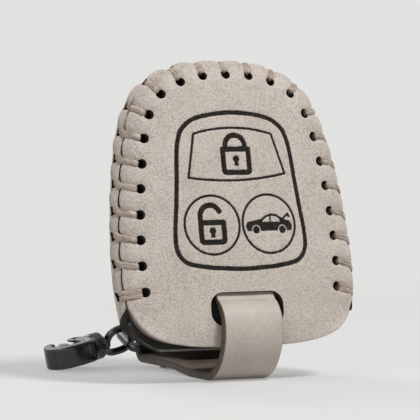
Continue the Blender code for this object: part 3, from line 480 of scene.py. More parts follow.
def seam_places():
    """Fine outline index and margin of each front hole, from the left end to the right end."""
    count = len(FINE_OUTLINE)
    right = [0]
    for i in range(1, count // 2):
        here = seam_point(i, hole_margin(len(right)))
        there = seam_point(right[-1], hole_margin(len(right) - 1))
        if np.linalg.norm(here - there) >= HOLE_PITCH - FINE_STEP / 2:
            right.append(i)
        if len(right) > HOLES_EACH_SIDE:
            break
    left = [(count - i, hole_margin(k)) for k, i in enumerate(right) if k][::-1]
    return left + [(i, hole_margin(k)) for k, i in enumerate(right)]


SEAM = seam_places()
SLANTS = [STITCH_SLANT * (END_LEAN if k in (0, len(SEAM) - 1) else 1) for k in range(len(SEAM))]


def edge_spots(share):
    """(x, z) points on the case's edge, a share of its slant past each hole."""
    return np.array([seam_point(i, 0, share * slant) for (i, _), slant in zip(SEAM, SLANTS)])


FRONT_HOLES = np.array([seam_point(i, m) for i, m in SEAM])
RIM_CROSSINGS = edge_spots(RIM_SLANT_SHARE)


# Surface of the front
def front_depth(points, distance):
    """Y of the front's outer face at (x, z) points that lie a distance inside the edge."""
    x, z = points[:, 0], points[:, 1]
    crown = x * x / (2 * CROWN_RADIUS_ACROSS) - CROWN_RISE
    crown += (z - CROWN_CENTRE) ** 2 / (2 * CROWN_RADIUS_ALONG)
    laced = eased(faded(z / CASE_BOTTOM, *SETBACK_FADE_SHARES))
    setback = MOUTH_SETBACK + laced * (SEAM_SETBACK - MOUTH_SETBACK)
    pull = np.clip(1 - distance / ROLL_WIDTH, 0, 1) ** ROLL_POWER
    return crown + pull * (setback - crown)


def middle_depth(z):
    """Y of the front's outer face on its middle line."""
    return float(front_depth(np.array([[0.0, z]]), RIM_WIDTH)[0])


def front_dent(points, distance):
    """How far the pulled thread presses the front in, less where the leather puffs up between."""
    to_stitch = distance_to_segments(points, FRONT_HOLES, RIM_CROSSINGS)
    to_hole = distance_to_spots(points, FRONT_HOLES)
    laced = faded(points[:, 1] / CASE_BOTTOM, *LACED_SHARES)
    puff = hill(distance - PUFF_WIDTH, PUFF_WIDTH) * (1 - hill(to_stitch, PUFF_CLEARANCE)) * laced
    return (
        TROUGH_DEPTH * hill(to_stitch, TROUGH_WIDTH) + PIT_DEPTH * hill(to_hole, PIT_WIDTH)
        - PUFF_HEIGHT * puff - WRINKLE_HEIGHT * wrinkles(points, to_hole)
    )


def notch(points, distance):
    """How far the thread draws the front's edge in, less where the edge puffs out between."""
    away = distance_to_spots(points, RIM_CROSSINGS)
    laced = faded(points[:, 1] / CASE_BOTTOM, *LACED_SHARES)
    puff = NOTCH_PUFF * (1 - hill(away, PUFF_CLEARANCE)) * laced
    pull = NOTCH_DEPTH * hill(away, NOTCH_WIDTH) - puff
    return pull * np.clip(1 - distance / NOTCH_REACH, 0, 1)


def wrinkles(points, to_hole):
    """Fine folds that run out from each hole, a broad set and a finer one."""
    folds = np.zeros(len(points))
    near = to_hole < WRINKLE_REACH + 2 * WRINKLE_WIDTH
    arms = points[near][:, None, :] - FRONT_HOLES[None, :, :]
    nearest = np.argmin(np.linalg.norm(arms, axis=2), axis=1)
    arm = arms[np.arange(len(nearest)), nearest]
    turn = np.arctan2(arm[:, 1], arm[:, 0]) + nearest
    second, share = SECOND_WRINKLES
    folds[near] = np.cos(turn * WRINKLES_AROUND) + share * np.cos(turn * second + nearest)
    return folds * hill(to_hole - WRINKLE_REACH, WRINKLE_WIDTH)


# Burnt drawing, as distances to lines and shapes
def bowed(a, b, bow, steps=10):
    """Points from a to b along a shallow arch."""
    return [
        (a[0] + (b[0] - a[0]) * t, a[1] + (b[1] - a[1]) * t + bow * 4 * t * (1 - t))
        for t in (k / steps for k in range(steps))
    ]


def inside(points, polygon):
    """Whether each point lies in a closed polygon."""
    polygon = np.array(polygon)
    crossed = np.zeros(len(points), bool)
    for (x0, z0), (x1, z1) in zip(polygon, np.roll(polygon, -1, axis=0)):
        if z0 == z1:
            continue
        spans = (z0 > points[:, 1]) != (z1 > points[:, 1])
        crossed ^= spans & (points[:, 0] < (x1 - x0) * (points[:, 1] - z0) / (z1 - z0) + x0)
    return crossed


def shape_distance(points, polygon):
    """Signed distance to a filled polygon, less than zero inside."""
    distance = line_distance(points, polygon, closed=True)
    return np.where(inside(points, polygon), -distance, distance)


FRAME_HALF = (
    (0, 0.00945), (0.0052, 0.0090), (0.0089, 0.0080), (0.0112, 0.0061), (0.0123, 0.0034),
    (0.0128, 0.0000), (0.0132, -0.0045), (0.0138, -0.0100), (0.0144, -0.0150), (0.0143, -0.0183),
    (0.0132, -0.0203), (0.0112, -0.0214), (0.0060, -0.0222), (0, -0.0225),
)
KEYPAD_CORNERS = ((-0.0087, 0.0052), (0.0087, 0.0050), (0.0110, -0.0032), (-0.0106, -0.0038))
KEYPAD_BOWS = (0.0012, -0.0010)
DISC_X = 0.00634
DISC_Z = -0.0135
DISC_RADIUS = 0.00597
LOCK_PLACE = (0.0002, -0.00345)
LOCK_SIZE = (0.0068, 0.0059)
LOCK_CORNER = 0.0005
OPEN_LOCK_PLACE = (-0.00635, -0.01755)
OPEN_LOCK_SIZE = (0.0061, 0.0051)
SHACKLE_RADIUS = 0.0022
SHACKLE_LIFTS = (0.30, 0.61)
KEYHOLE = 0.00072
KEYHOLE_HEIGHT_SHARE = 0.56
KEYHOLE_STEM = ((-0.00030, 0), (0.00030, 0), (0.00052, -0.00140), (-0.00052, -0.00140))


def padlock(points, place, size, opened):
    """Signed distance to a padlock drawn with a broad line."""
    x, z = place
    half, tall = size[0] / 2 - LOCK_LINE / 2, size[1] - LOCK_LINE / 2
    low, soft = z + LOCK_LINE / 2, LOCK_CORNER
    body = [(x - half, z + tall)] + arc_points((x - half + soft, low + soft), soft, 180, 270, 4)
    body += arc_points((x + half - soft, low + soft), soft, 270, 360, 4) + [(x + half, z + tall)]
    top = z + size[1] - LOCK_LINE / 2
    if opened:
        middle = (x - half + SHACKLE_RADIUS, top + SHACKLE_RADIUS * SHACKLE_LIFTS[1])
        shackle = [(x - half, top)] + arc_points(middle, SHACKLE_RADIUS, 180, 25, 12)
    else:
        middle = (x, top + SHACKLE_RADIUS * SHACKLE_LIFTS[0])
        shackle = [(x - SHACKLE_RADIUS, top)] + arc_points(middle, SHACKLE_RADIUS, 180, 0, 14)
        shackle.append((x + SHACKLE_RADIUS, top))
    lines = np.minimum(line_distance(points, body, True), line_distance(points, shackle))
    keyhole = (x, z + size[1] * KEYHOLE_HEIGHT_SHARE)
    stem = [(keyhole[0] + side, keyhole[1] + rise) for side, rise in KEYHOLE_STEM]
    hole = np.minimum(
        np.hypot(points[:, 0] - keyhole[0], points[:, 1] - keyhole[1]) - KEYHOLE,
        shape_distance(points, stem),
    )
    return np.minimum(lines - LOCK_LINE / 2, hole)


CAR_BODY = (
    (-0.0050, 0.0004), (-0.0034, 0.0007), (-0.0019, 0.0010), (-0.0008, 0.0017), (0.0004, 0.0021),
    (0.0017, 0.0020), (0.0027, 0.0014), (0.0034, 0.0009), (0.0048, 0.0006), (0.0053, -0.0003),
    (0.0051, -0.0014), (-0.0050, -0.0015), (-0.0053, -0.0005),
)
CAR_WINDOWS = (
    ((-0.0016, 0.0004), (-0.0006, 0.0013), (0.0002, 0.0016), (0.0002, 0.0004)),
    ((0.0005, 0.0004), (0.0005, 0.0016), (0.0016, 0.0015), (0.0024, 0.0010), (0.0025, 0.0004)),
)
CAR_BOOT = ((0.0033, 0.0010), (0.0045, 0.0020), (0.0047, 0.0015))
CAR_WHEELS = (-0.0030, 0.0030)
CAR_WHEEL_HEIGHT = -0.0012
CAR_WHEEL = 0.00078
CAR_ARCH = 0.00100
CAR_LINE = 0.00024


def car(points, place):
    """Signed distance to a plain side view of a car with its boot lid up."""
    local = points - np.array(place)
    shape = shape_distance(local, CAR_BODY)
    for window in CAR_WINDOWS:
        shape = np.maximum(shape, -shape_distance(local, window))
    for wheel_x in CAR_WHEELS:
        reach = np.hypot(local[:, 0] - wheel_x, local[:, 1] - CAR_WHEEL_HEIGHT)
        shape = np.maximum(shape, CAR_ARCH - reach)
        shape = np.minimum(shape, reach - CAR_WHEEL)
    return np.minimum(shape, line_distance(local, CAR_BOOT) - CAR_LINE)


def burnt_distance(points):
    """Signed distance to everything that is burnt into the front."""
    upper_left, upper_right, lower_right, lower_left = KEYPAD_CORNERS
    keypad = bowed(upper_left, upper_right, KEYPAD_BOWS[0]) + [upper_right]
    keypad += bowed(lower_right, lower_left, KEYPAD_BOWS[1]) + [lower_left]
    rings = [
        abs(np.hypot(points[:, 0] - side * DISC_X, points[:, 1] - DISC_Z) - DISC_RADIUS)
        for side in (-1, 1)
    ]
    thin = np.minimum(line_distance(points, keypad, True), np.minimum(*rings)) - THIN_LINE / 2
    border = line_distance(points, mirrored_loop(FRAME_HALF, 8), True) - FRAME_LINE / 2
    return np.minimum.reduce([
        thin, border, padlock(points, LOCK_PLACE, LOCK_SIZE, False),
        padlock(points, OPEN_LOCK_PLACE, OPEN_LOCK_SIZE, True), car(points, (DISC_X, DISC_Z)),
    ])


def burnt_share(points):
    """1 on burnt leather, 0 on plain leather, soft between."""
    share = np.zeros(len(points))
    wide, low, high = DRAWING_BOX
    near = (abs(points[:, 0]) < wide) & (points[:, 1] > low) & (points[:, 1] < high)
    share[near] = np.clip(0.5 - burnt_distance(points[near]) / (2 * BURN_SOFTNESS), 0, 1)
    return share


# Meshes
def new_object(name, mesh):
    obj = bpy.data.objects.new(name, mesh)
    bpy.context.scene.collection.objects.link(obj)
    return obj


def change_mesh(mesh, change):
    soup = bmesh.new()
    soup.from_mesh(mesh)
    change(soup)
    soup.to_mesh(mesh)
    soup.free()


def face_outwards(obj):
    change_mesh(obj.data, lambda soup: bmesh.ops.recalc_face_normals(soup, faces=soup.faces))


def solid_object(name, points, faces):
    """A closed solid, with its faces turned outwards."""
    mesh = bpy.data.meshes.new(name)
    mesh.from_pydata([tuple(p) for p in points], [], faces)
    mesh.update()
    solid = new_object(name, mesh)
    face_outwards(solid)
    return solid


def ring_quads(low, high, around):
    """Faces between two closed rings of points, given the number of each ring's first point."""
    sides = [(i, (i + 1) % around) for i in range(around)]
    return [(low + i, high + i, high + j, low + j) for i, j in sides]


def skin(name, first_pole, rings, last_pole):
    """A closed solid through rings of points, with a pole before the first and after the last."""
    around = len(rings[0])
    last = 1 + len(rings) * around
    faces = []
    for i in range(around):
        j = (i + 1) % around
        faces += [(0, 1 + i, 1 + j), (last, last - around + j, last - around + i)]
    for low in range(1, last - around, around):
        faces += ring_quads(low, low + around, around)
    return solid_object(name, np.vstack([[first_pole], *rings, [last_pole]]), faces)


def closed_tube(name, rings):
    """A closed tube through rings of points, the last ring joined to the first."""
    around = len(rings[0])
    total = len(rings) * around
    faces = []
    for low in range(0, total, around):
        faces += ring_quads(low, (low + around) % total, around)
    return solid_object(name, np.vstack(rings), faces)


def with_depth(ring, depth):
    """(x, y, z) from a ring of (x, z) points and their y."""
    return np.stack([ring[:, 0], np.broadcast_to(depth, len(ring)), ring[:, 1]], 1)


def store(obj, name, values):
    attribute = obj.data.attributes.new(name, "FLOAT", "POINT")
    attribute.data.foreach_set("value", np.asarray(values, np.float32))


def plain_points(obj):
    co = np.zeros(len(obj.data.vertices) * 3, np.float32)
    obj.data.vertices.foreach_get("co", co)
    return co.reshape(-1, 3).astype(float)


def settle(obj):
    """Turns an object with live modifiers into its final plain mesh."""
    bpy.context.view_layer.update()
    depsgraph = bpy.context.evaluated_depsgraph_get()
    mesh = bpy.data.meshes.new_from_object(obj.evaluated_get(depsgraph))
    obj.modifiers.clear()
    obj.data = mesh
    return obj


def combine(obj, operation, others):
    """Cuts other solids out of one, or joins them to it, and takes them away."""
    for other in others:
        modifier = obj.modifiers.new("Combine", "BOOLEAN")
        modifier.operation = operation
        modifier.solver = "MANIFOLD"
        modifier.object = other
        if operation == "DIFFERENCE":
            modifier.material_mode = "TRANSFER"
    settle(obj)
    for other in others:
        bpy.data.objects.remove(other)


def cut(obj, *cutters, edge=None):
    """Cuts solids out of one, with the finish of the cut edge."""
    for cutter in cutters:
        if edge:
            paint(cutter, edge)
    combine(obj, "DIFFERENCE", cutters)


def paint(obj, *mats):
    obj.data.materials.clear()
    for mat in mats:
        obj.data.materials.append(mat)


def smooth(obj, angle=math.radians(40)):
    obj.data.shade_smooth()
    obj.data.set_sharp_from_angle(angle=angle)
    return obj


def prism(name, outline, low, high):
    """A closed block from (x, z) points, between two depths along Y."""
    count = len(outline)
    points = [(x, y, z) for y in (low, high) for x, z in outline]
    faces = [tuple(range(count)), tuple(range(2 * count - 1, count - 1, -1))]
    faces += [(i, (i + 1) % count, count + (i + 1) % count, count + i) for i in range(count)]
    return solid_object(name, points, faces)


def round_cutters(name, places, radius, depth, sides=20):
    """Separate cylinders, each at its own place and direction."""
    def bore_all(soup):
        for place, direction in places:
            turn = Vector(direction).to_track_quat("Z", "X").to_matrix().to_4x4()
            bmesh.ops.create_cone(
                soup, cap_ends=True, segments=sides, radius1=radius, radius2=radius, depth=depth,
                matrix=Matrix.Translation(place) @ turn,
            )

    mesh = bpy.data.meshes.new(name)
    change_mesh(mesh, bore_all)
    return new_object(name, mesh)


def rounded_rectangle(width, height, corner, centre_z):
    points = []
    for quarter, (side, up) in enumerate(((1, 1), (-1, 1), (-1, -1), (1, -1))):
        centre = (side * (width / 2 - corner), centre_z + up * (height / 2 - corner))
        points += arc_points(centre, corner, quarter * 90, quarter * 90 + 90, 7)
    return points


# Front of the case
def slope_turn(distance):
    """How far the front's outer face is turned back at a distance inside the edge, per point."""
    step = GAP / 3
    near, far = (front_depth(inset(OUTLINE, d), d) for d in (distance, distance + step))
    return np.arctan2(near - far, step)


def front_ring(distance, sunk=0.0):
    """Ring of points on the front, or sunk into its leather along the face's own normal."""
    turn = slope_turn(distance)
    flat = inset(OUTLINE, distance)
    base = front_depth(flat, distance) + front_dent(flat, distance)
    moved = inset(OUTLINE, distance + notch(flat, distance) + sunk * np.sin(turn))
    return with_depth(moved, base + sunk * np.cos(turn))


def edge_rings(thickness):
    """Cut edge of the front, with its two corners rubbed round."""
    worn = EDGE_ROUND * EDGE_WEAR_SHARE
    return [
        front_ring(worn, worn), front_ring(0.0, EDGE_ROUND), front_ring(0.0, thickness / 2),
        front_ring(0.0, thickness - EDGE_ROUND), front_ring(worn, thickness - worn),
    ]


def make_front():
    rim = [front_ring(d) for d in np.arange(EDGE_ROUND, RIM_WIDTH, RIM_STEP)]
    inner_edge = inset(OUTLINE, RIM_WIDTH)
    field = []
    plain = np.linspace(1, DRAWN_SHARE, PLAIN_RINGS, endpoint=False)[1:]
    drawn = np.linspace(DRAWN_SHARE, 0, DRAWN_RINGS, endpoint=False)
    for share in np.concatenate([plain, drawn]):
        ring = shrunk(inner_edge, share)
        sunk = front_dent(ring, RIM_WIDTH) + BURN_DEPTH * burnt_share(ring)
        field.append(with_depth(ring, front_depth(ring, RIM_WIDTH) + sunk))
    back = [front_ring(d, FRONT_LEATHER) for d in BACK_RING_INSETS]
    for share in BACK_RING_SHARES:
        ring = shrunk(inner_edge, share)
        back.append(with_depth(ring, front_depth(ring, RIM_WIDTH) + FRONT_LEATHER))
    crown = middle_depth(MIDDLE[1])
    rings = field[::-1] + rim[::-1] + edge_rings(FRONT_LEATHER) + back
    panel = skin(
        "front_leather", (0, crown, MIDDLE[1]), rings, (0, crown + FRONT_LEATHER, MIDDLE[1])
    )
    paint(panel, leather("front_grain", True), burnt_leather())
    mark_front(panel)
    holes = [((x, 0.0, z), (0, 1, 0)) for x, z in FRONT_HOLES]
    punches = round_cutters("front_holes", holes, HOLE_RADIUS, SHELL_DEPTH)
    # The hole walls get a darker tone than other cut edges, as painted shade down each hole
    cut(panel, punches, edge=cut_leather("front_hole_wall_painted_shade", HOLE_WALL_PAINTED_SHADE))
    slot = rounded_rectangle(SLOT_WIDTH, SLOT_HEIGHT, SLOT_CORNER, -(SLOT_TOP + SLOT_HEIGHT / 2))
    opening = prism("slot", slot, -SHELL_DEPTH, SHELL_DEPTH)
    cut(panel, opening, edge=cut_leather("slot_edge", EDGE_DARK))
    dress(smooth(panel), LEAN_FRAME, "case", "leather", "front_panel")


def mark_front(panel):
    """Stores where the leather is burnt, cut through or pulled; the material reads the burnt and
    cut marks.
    """
    points = plain_points(panel)
    flat = points[:, (0, 2)]
    reach = edge_distance(flat)
    sunk = points[:, 1] - front_depth(flat, reach)
    on_face = 1 - faded(sunk, *FACE_DEPTHS)
    burnt = burnt_share(flat) * on_face
    store(panel, "burnt", burnt)
    for face in panel.data.polygons:
        face.material_index = int(all(burnt[i] > BURNT_CORE for i in face.vertices))
    cut_side = (sunk > EDGE_ROUND * 3) & (reach < RIM_WIDTH / 3)
    store(panel, "cut_edge", np.where(cut_side, 1.0, 1 - on_face))
    store(panel, "pull", hill(distance_to_segments(flat, FRONT_HOLES, RIM_CROSSINGS), PULL_WIDTH))


# Shell of the case
TURN_SIN, TURN_COS = math.sin(SHELL_TURN_IN), math.cos(SHELL_TURN_IN)
SHELL_EDGE = SEAM_SETBACK + SEAM_GAP * TURN_COS + SHELL_EDGE_STEP * TURN_SIN
SHELL_WIDEST = SHELL_EDGE + SHELL_TURN_RADIUS * TURN_SIN
SHELL_BULGE = SEAM_GAP * TURN_SIN - SHELL_EDGE_STEP * TURN_COS + SHELL_TURN_RADIUS * (1 - TURN_COS)
SHELL_HOLE_Y = SHELL_WIDEST + SHELL_HOLE_MARGIN
SHELL_HOLES = edge_spots(1.0)


def turned_edge(turn):
    """How far out and back the laced edge's outer face lies, where it has turned so far in."""
    return (
        SHELL_BULGE - SHELL_TURN_RADIUS * (1 - math.cos(turn)),
        SHELL_WIDEST - SHELL_TURN_RADIUS * math.sin(turn),
    )


def shell_profile(offset, start):
    """(inset, y) of the bowl's outer face at an offset, from its front edge to the flat back."""
    levels = []
    if start < SHELL_STRAIGHT:
        for turn in np.linspace(SHELL_TURN_IN, 0, SHELL_TURN_RINGS):
            out, y = turned_edge(turn)
            levels.append((-out, y))
    rise = SHELL_DEPTH - offset - SHELL_STRAIGHT
    first = math.asin(max(0.0, start - SHELL_STRAIGHT) / rise)
    for share in np.linspace(0, 1, SHELL_WALL_RINGS)[1 if levels else 0:]:
        angle = first + share * (math.pi / 2 - first)
        y = SHELL_STRAIGHT + rise * math.sin(angle)
        bulge = SHELL_BULGE * max(0.0, 1 - (y - SHELL_WIDEST) / SHELL_BULGE_FADE) ** FADE_POWER
        levels.append((offset + (SHELL_ROUND - offset) * (1 - math.cos(angle)) - bulge, y))
    return np.array(levels)


def tuck(z, y):
    """How far the shell's front is drawn in behind the front's edge, at a height and a depth."""
    depth = np.clip(1 - (y - SHELL_EDGE) / SHELL_TUCK_FADE, 0, 1)
    return SHELL_TUCK * eased(faded(z, *SHELL_TUCK_HEIGHTS)) * depth ** FADE_POWER


def tucked(flat, y, loop):
    """(x, y, z) of shell points, drawn in along the front's cut edge."""
    shift = tuck(loop[:, 1], y)
    moved = flat + inward_normals(loop) * (shift * TURN_SIN)[:, None]
    return with_depth(moved, y + shift * TURN_COS)


def shell_dent(loop, y):
    """How far the thread presses the shell in at a depth y, less the puff between stitches."""
    share = float(np.clip((y - SHELL_EDGE) / (SHELL_HOLE_Y - SHELL_EDGE), 0, PAST_HOLE_SHARE))
    away = distance_to_spots(loop, edge_spots(RIM_SLANT_SHARE + (1 - RIM_SLANT_SHARE) * share))
    trough = hill(away, TROUGH_WIDTH) * hill(max(0.0, y - SHELL_HOLE_Y), SHELL_TROUGH_FADE)
    laced = faded(loop[:, 1] / CASE_BOTTOM, *SHELL_LACED_SHARES)
    puff = (1 - hill(away, PUFF_CLEARANCE)) * laced * hill(y - SHELL_WIDEST, SHELL_PUFF_FADE)
    return SHELL_TROUGH * trough - SHELL_PUFF * puff


def shell_cutters():
    """Blocks that free the walls below the lacing and round the lower corners of the mouth."""
    wide, low = 2 * CASE_HALF_WIDTH, -2 * CASE_BOTTOM
    side = [(y * SHELL_DEPTH, z * CASE_BOTTOM) for y, z in SIDE_GAP_SHARES]
    gap = prism("side_gap", side + [(side[-1][0], low), (side[0][0], low)], -wide, wide)
    gap.data.transform(Matrix.Rotation(math.pi / 2, 4, "Z"))
    face_outwards(gap)
    right = [(x * CASE_HALF_WIDTH, z * CASE_BOTTOM) for x, z in MOUTH_SHARES]
    left = [(-x, z) for x, z in right[-2::-1]]
    top = right[0][1]
    around_mouth = [(wide, top), *right, *left, (-wide, top), (-wide, low), (wide, low)]
    return gap, prism("mouth_round", around_mouth, -2 * SHELL_DEPTH, 2 * SHELL_DEPTH)


def bowl(name, offset, start, thickness, around, pulled, face_finish, edge_finish):
    """Closed solid of a moulded bowl, cut at the mouth."""
    loop = case_outline(SHELL_STRETCH, around)
    outer = shell_profile(offset, start)
    tangent = unit(np.gradient(outer, axis=0))
    normals = np.stack([-tangent[:, 1], tangent[:, 0]], 1)
    inner = outer - normals * thickness
    soft = min(EDGE_ROUND, thickness / 3)

    def ring(point):
        dent = shell_dent(loop, point[1]) if pulled else 0.0
        return tucked(inset(loop, point[0] + dent), point[1], loop)

    def domed(level):
        flat = inset(loop, level[-1][0])
        back = level[-1][1]
        return [
            with_depth(shrunk(flat, share), back + SHELL_DOME * (1 - share * share))
            for share in DOME_RING_SHARES
        ]

    along = unit(outer[1:2] - outer[:1])[0]
    eased_in, worn = along * soft * EDGE_WEAR_SHARE, normals[0] * soft * EDGE_WEAR_SHARE
    edge = [
        outer[0] + eased_in - worn, outer[0] - normals[0] * soft,
        outer[0] - normals[0] * (thickness - soft), inner[0] + eased_in + worn,
    ]
    rings = domed(outer)[::-1] + [ring(p) for p in outer[:0:-1]] + [ring(outer[0] + along * soft)]
    rings += [ring(p) for p in edge] + [ring(inner[0] + along * soft)]
    rings += [ring(p) for p in inner[2::2]] + domed(inner)
    poles = [(0, level[-1][1] + SHELL_DOME, MIDDLE[1]) for level in (outer, inner)]
    solid = skin(name, poles[0], rings, poles[1])
    paint(solid, face_finish)
    for cutter in shell_cutters():
        cut(solid, cutter, edge=edge_finish)
    return solid


def make_shell():
    # The shell's cut edges get a near-black tone as painted shade
    finishes = leather("shell_grain", False), cut_leather("shell_cut_painted_shade", SHELL_CUT_PAINTED_SHADE)
    shell = bowl("shell_leather", 0.0, SHELL_EDGE, SHELL_LEATHER, AROUND, True, *finishes)
    holes = []
    for (index, _), slant in zip(SEAM, SLANTS):
        drawn = float(tuck(FINE_OUTLINE[index][1], SHELL_HOLE_Y))
        x, z = seam_point(index, 0, slant)
        across = seam_point(index, GAP, slant) - (x, z)
        holes.append(((x, SHELL_HOLE_Y + drawn * TURN_COS, z), (across[0], 0, across[1])))
    punches = round_cutters("shell_holes", holes, HOLE_RADIUS, 3 * SHELL_LEATHER)
    # The hole walls get a darker tone than other cut edges, as painted shade down each hole
    cut(shell, punches, edge=cut_leather("shell_hole_wall_painted_shade", HOLE_WALL_PAINTED_SHADE))
    points = plain_points(shell)
    pull = hill(distance_to_spots(points[:, (0, 2)], SHELL_HOLES), PULL_WIDTH)
    store(shell, "pull", pull * hill(points[:, 1] - SHELL_HOLE_Y, PULL_FADE))
    dress(smooth(shell), LEAN_FRAME, "case", "leather", "back_shell")


def make_linings():
    blend = faded(OUTLINE[:, 1] / CASE_BOTTOM, *LINING_BLEND_SHARES)
    rim = inset(OUTLINE, LINING_MOUTH_MARGIN + blend * (LINING_SEAM_MARGIN - LINING_MOUTH_MARGIN))
    front, back = [], []
    for share in LINING_RING_SHARES:
        ring = shrunk(rim, share)
        face = front_depth(ring, edge_distance(ring)) + FRONT_LEATHER + GAP
        front.append(with_depth(ring, face))
        back.append(with_depth(ring, face + FRONT_LINING))
    face = middle_depth(MIDDLE[1]) + FRONT_LEATHER + GAP
    poles = [(0, y, MIDDLE[1]) for y in (face, face + FRONT_LINING)]
    lining = skin("front_suede", poles[0], front[::-1] + back, poles[1])
    nap = suede("front_suede")
    paint(lining, nap)
    half = STRAP_WIDTH / 2 + 2 * GAP
    high, low = -SLOT_TOP + ROOT_LENGTH + GAP, -SLOT_TOP - STRAP_LEATHER - GAP
    room = [(-half, low), (half, low), (half, high), (-half, high)]
    cut(lining, prism("root_room", room, -SHELL_DEPTH, SHELL_DEPTH), edge=nap)
    dress(smooth(lining), LEAN_FRAME, "case", "suede", "front_lining")
    nap = suede("shell_suede")
    inner = bowl(
        "shell_suede", SHELL_LEATHER + GAP, SHELL_LINING_START, LINING, AROUND // 2, False, nap, nap
    )
    dress(smooth(inner), LEAN_FRAME, "case", "suede", "back_lining")


# Thread
def stitch_points(index, margin, lean, shift, width):
    """Path, flat side and width of one stitch, from inside the front to inside the shell."""
    half = THREAD_THICKNESS / 2

    def slanted(share):
        return (THREAD_REST_SLANT + (THREAD_END_SLANT - THREAD_REST_SLANT) * share) * lean + shift

    def on_front(share, along):
        away = margin * share
        spot = seam_point(index, away, along)[None, :]
        depth = float((front_depth(spot, away) + front_dent(spot, away))[0])
        return seam_point(index, away + float(notch(spot, away)[0]), along), depth

    def on_shell(out, y, share):
        drawn = float(tuck(FINE_OUTLINE[index][1], y))
        return seam_point(index, drawn * TURN_SIN - out, slanted(share)), y + drawn * TURN_COS

    def on_turn(turn, share):
        out, y = turned_edge(turn)
        out -= SHELL_TROUGH
        return on_shell(out + half * math.cos(turn), y - half * math.sin(turn), share)

    entry = 1 - (HOLE_RADIUS - half) / margin
    hole, face = on_front(entry, slanted(0))
    path = [(hole, face + FRONT_LEATHER + half), (hole, face + FRONT_LEATHER * FRONT_LEG_SHARE)]
    for share, sunk in FRONT_STRAND_SHARES:
        spot, depth = on_front(entry * share, slanted(RIM_REST_SHARE * (1 - share)))
        path.append((spot, depth - half * sunk))
    rim = seam_point(index, NOTCH_DEPTH - half / 2, slanted(RIM_REST_SHARE))
    path.append((rim, SEAM_SETBACK + TROUGH_DEPTH - half))
    entry_y = SHELL_HOLE_Y - HOLE_RADIUS + half
    entry_turn = math.asin((SHELL_WIDEST - entry_y) / SHELL_TURN_RADIUS)
    surface, _ = turned_edge(entry_turn)
    over_rim, rim_slant = OVER_RIM_SHARES
    near_hole, hole_slant = NEAR_HOLE_SHARES
    path += [
        on_turn(over_rim * SHELL_TURN_IN, rim_slant),
        on_turn(entry_turn + near_hole * (SHELL_TURN_IN - entry_turn), hole_slant),
        on_shell(surface - half, entry_y - half * ENTRY_SEAT_SHARE, 1.0),
        on_shell(surface - SHELL_LEATHER * SHELL_LEG_SHARE, entry_y, 1.0),
        on_shell(surface - SHELL_LEATHER - THREAD_THICKNESS, entry_y, 1.0),
    ]
    points = np.array([(spot[0], y, spot[1]) for spot, y in path])
    widths = np.full(len(points), width)
    widths[:2] = widths[-2:] = min(width, HOLE_SQUEEZE * HOLE_RADIUS)
    outward = -np.append(FINE_NORMALS[index % len(FINE_NORMALS)], 0)[[0, 2, 1]]
    along_edge = np.cross(outward, (0, 1, 0))
    flat_side = unit(np.cross(np.gradient(points, axis=0), along_edge))
    if flat_side[5] @ (outward + np.array((0, -1, 0))) < 0:
        flat_side = -flat_side
    return points, flat_side, widths


def thread_line():
    """One unbroken line of thread through all the holes, doubled at its two ends."""
    stitches = []
    for number, (index, margin) in enumerate(SEAM):
        ends = number in (0, len(SEAM) - 1)
        for shift in (-END_STRAND_SHIFT, END_STRAND_SHIFT) if ends else (0.0,):
            width = END_STRAND_WIDTH if ends else THREAD_WIDTH
            stitches.append(stitch_points(index, margin, SLANTS[number], shift, width))
    points, sides, widths = (np.concatenate(kind) for kind in zip(*stitches))
    return resampled(points, np.hstack([sides, widths[:, None]]), 4)


def add_node(tree, kind, inputs=None, **settings):
    """A new node with its settings, and its inputs as values or from other nodes' outputs."""
    node = tree.nodes.new(kind)
    for name, value in settings.items():
        setattr(node, name, value)
    for name, value in (inputs or {}).items():
        if isinstance(value, bpy.types.NodeSocket):
            tree.links.new(value, node.inputs[name])
        else:
            node.inputs[name].default_value = value
    return node


def thread_tree():
    """Geometry nodes that sweep a flat thread along a line, by its stored side and width."""
    tree = bpy.data.node_groups.new("flat_thread", "GeometryNodeTree")
    face = tree.interface
    face.new_socket("Line", in_out="INPUT", socket_type="NodeSocketGeometry")
    thick = face.new_socket("Thickness", in_out="INPUT", socket_type="NodeSocketFloat")
    finish_input = face.new_socket("Finish", in_out="INPUT", socket_type="NodeSocketMaterial")
    face.new_socket("Thread", in_out="OUTPUT", socket_type="NodeSocketGeometry")
    given = tree.nodes.new("NodeGroupInput").outputs

    def step(kind, output, inputs=None, **settings):
        return add_node(tree, "GeometryNode" + kind, inputs, **settings).outputs[output]

    def keep(name, geometry, measure):
        inputs = {"Geometry": geometry, "Name": name, "Value": step("SplineParameter", measure)}
        return step("StoreNamedAttribute", "Geometry", inputs)

    line = keep("along", step("MeshToCurve", "Curve", {"Mesh": given["Line"]}), "Length")
    side = step("InputNamedAttribute", "Attribute", {"Name": "flat_side"}, data_type="FLOAT_VECTOR")
    line = step("SetCurveNormal", "Curve", {"Curve": line, "Normal": side}, mode="FREE")
    circle = {"Resolution": 14, "Radius": 0.5}
    profile = keep("around", step("CurvePrimitiveCircle", "Curve", circle), "Factor")
    ratio = add_node(
        tree, "ShaderNodeMath", {0: given["Thickness"], 1: THREAD_WIDTH}, operation="DIVIDE"
    )
    scale = add_node(tree, "ShaderNodeCombineXYZ", {"X": ratio.outputs[0], "Y": 1.0, "Z": 1.0})
    profile = step("Transform", "Geometry", {"Geometry": profile, "Scale": scale.outputs[0]})
    width = step("InputNamedAttribute", "Attribute", {"Name": "width"}, data_type="FLOAT")
    thread = step("CurveToMesh", "Mesh", {
        "Curve": line, "Profile Curve": profile, "Scale": width, "Fill Caps": True,
    })
    thread = step("RealizeInstances", "Geometry", {"Geometry": thread})
    thread = step("SetMaterial", "Geometry", {"Geometry": thread, "Material": given["Finish"]})
    add_node(tree, "NodeGroupOutput", {"Thread": thread})
    return tree, thick.identifier, finish_input.identifier


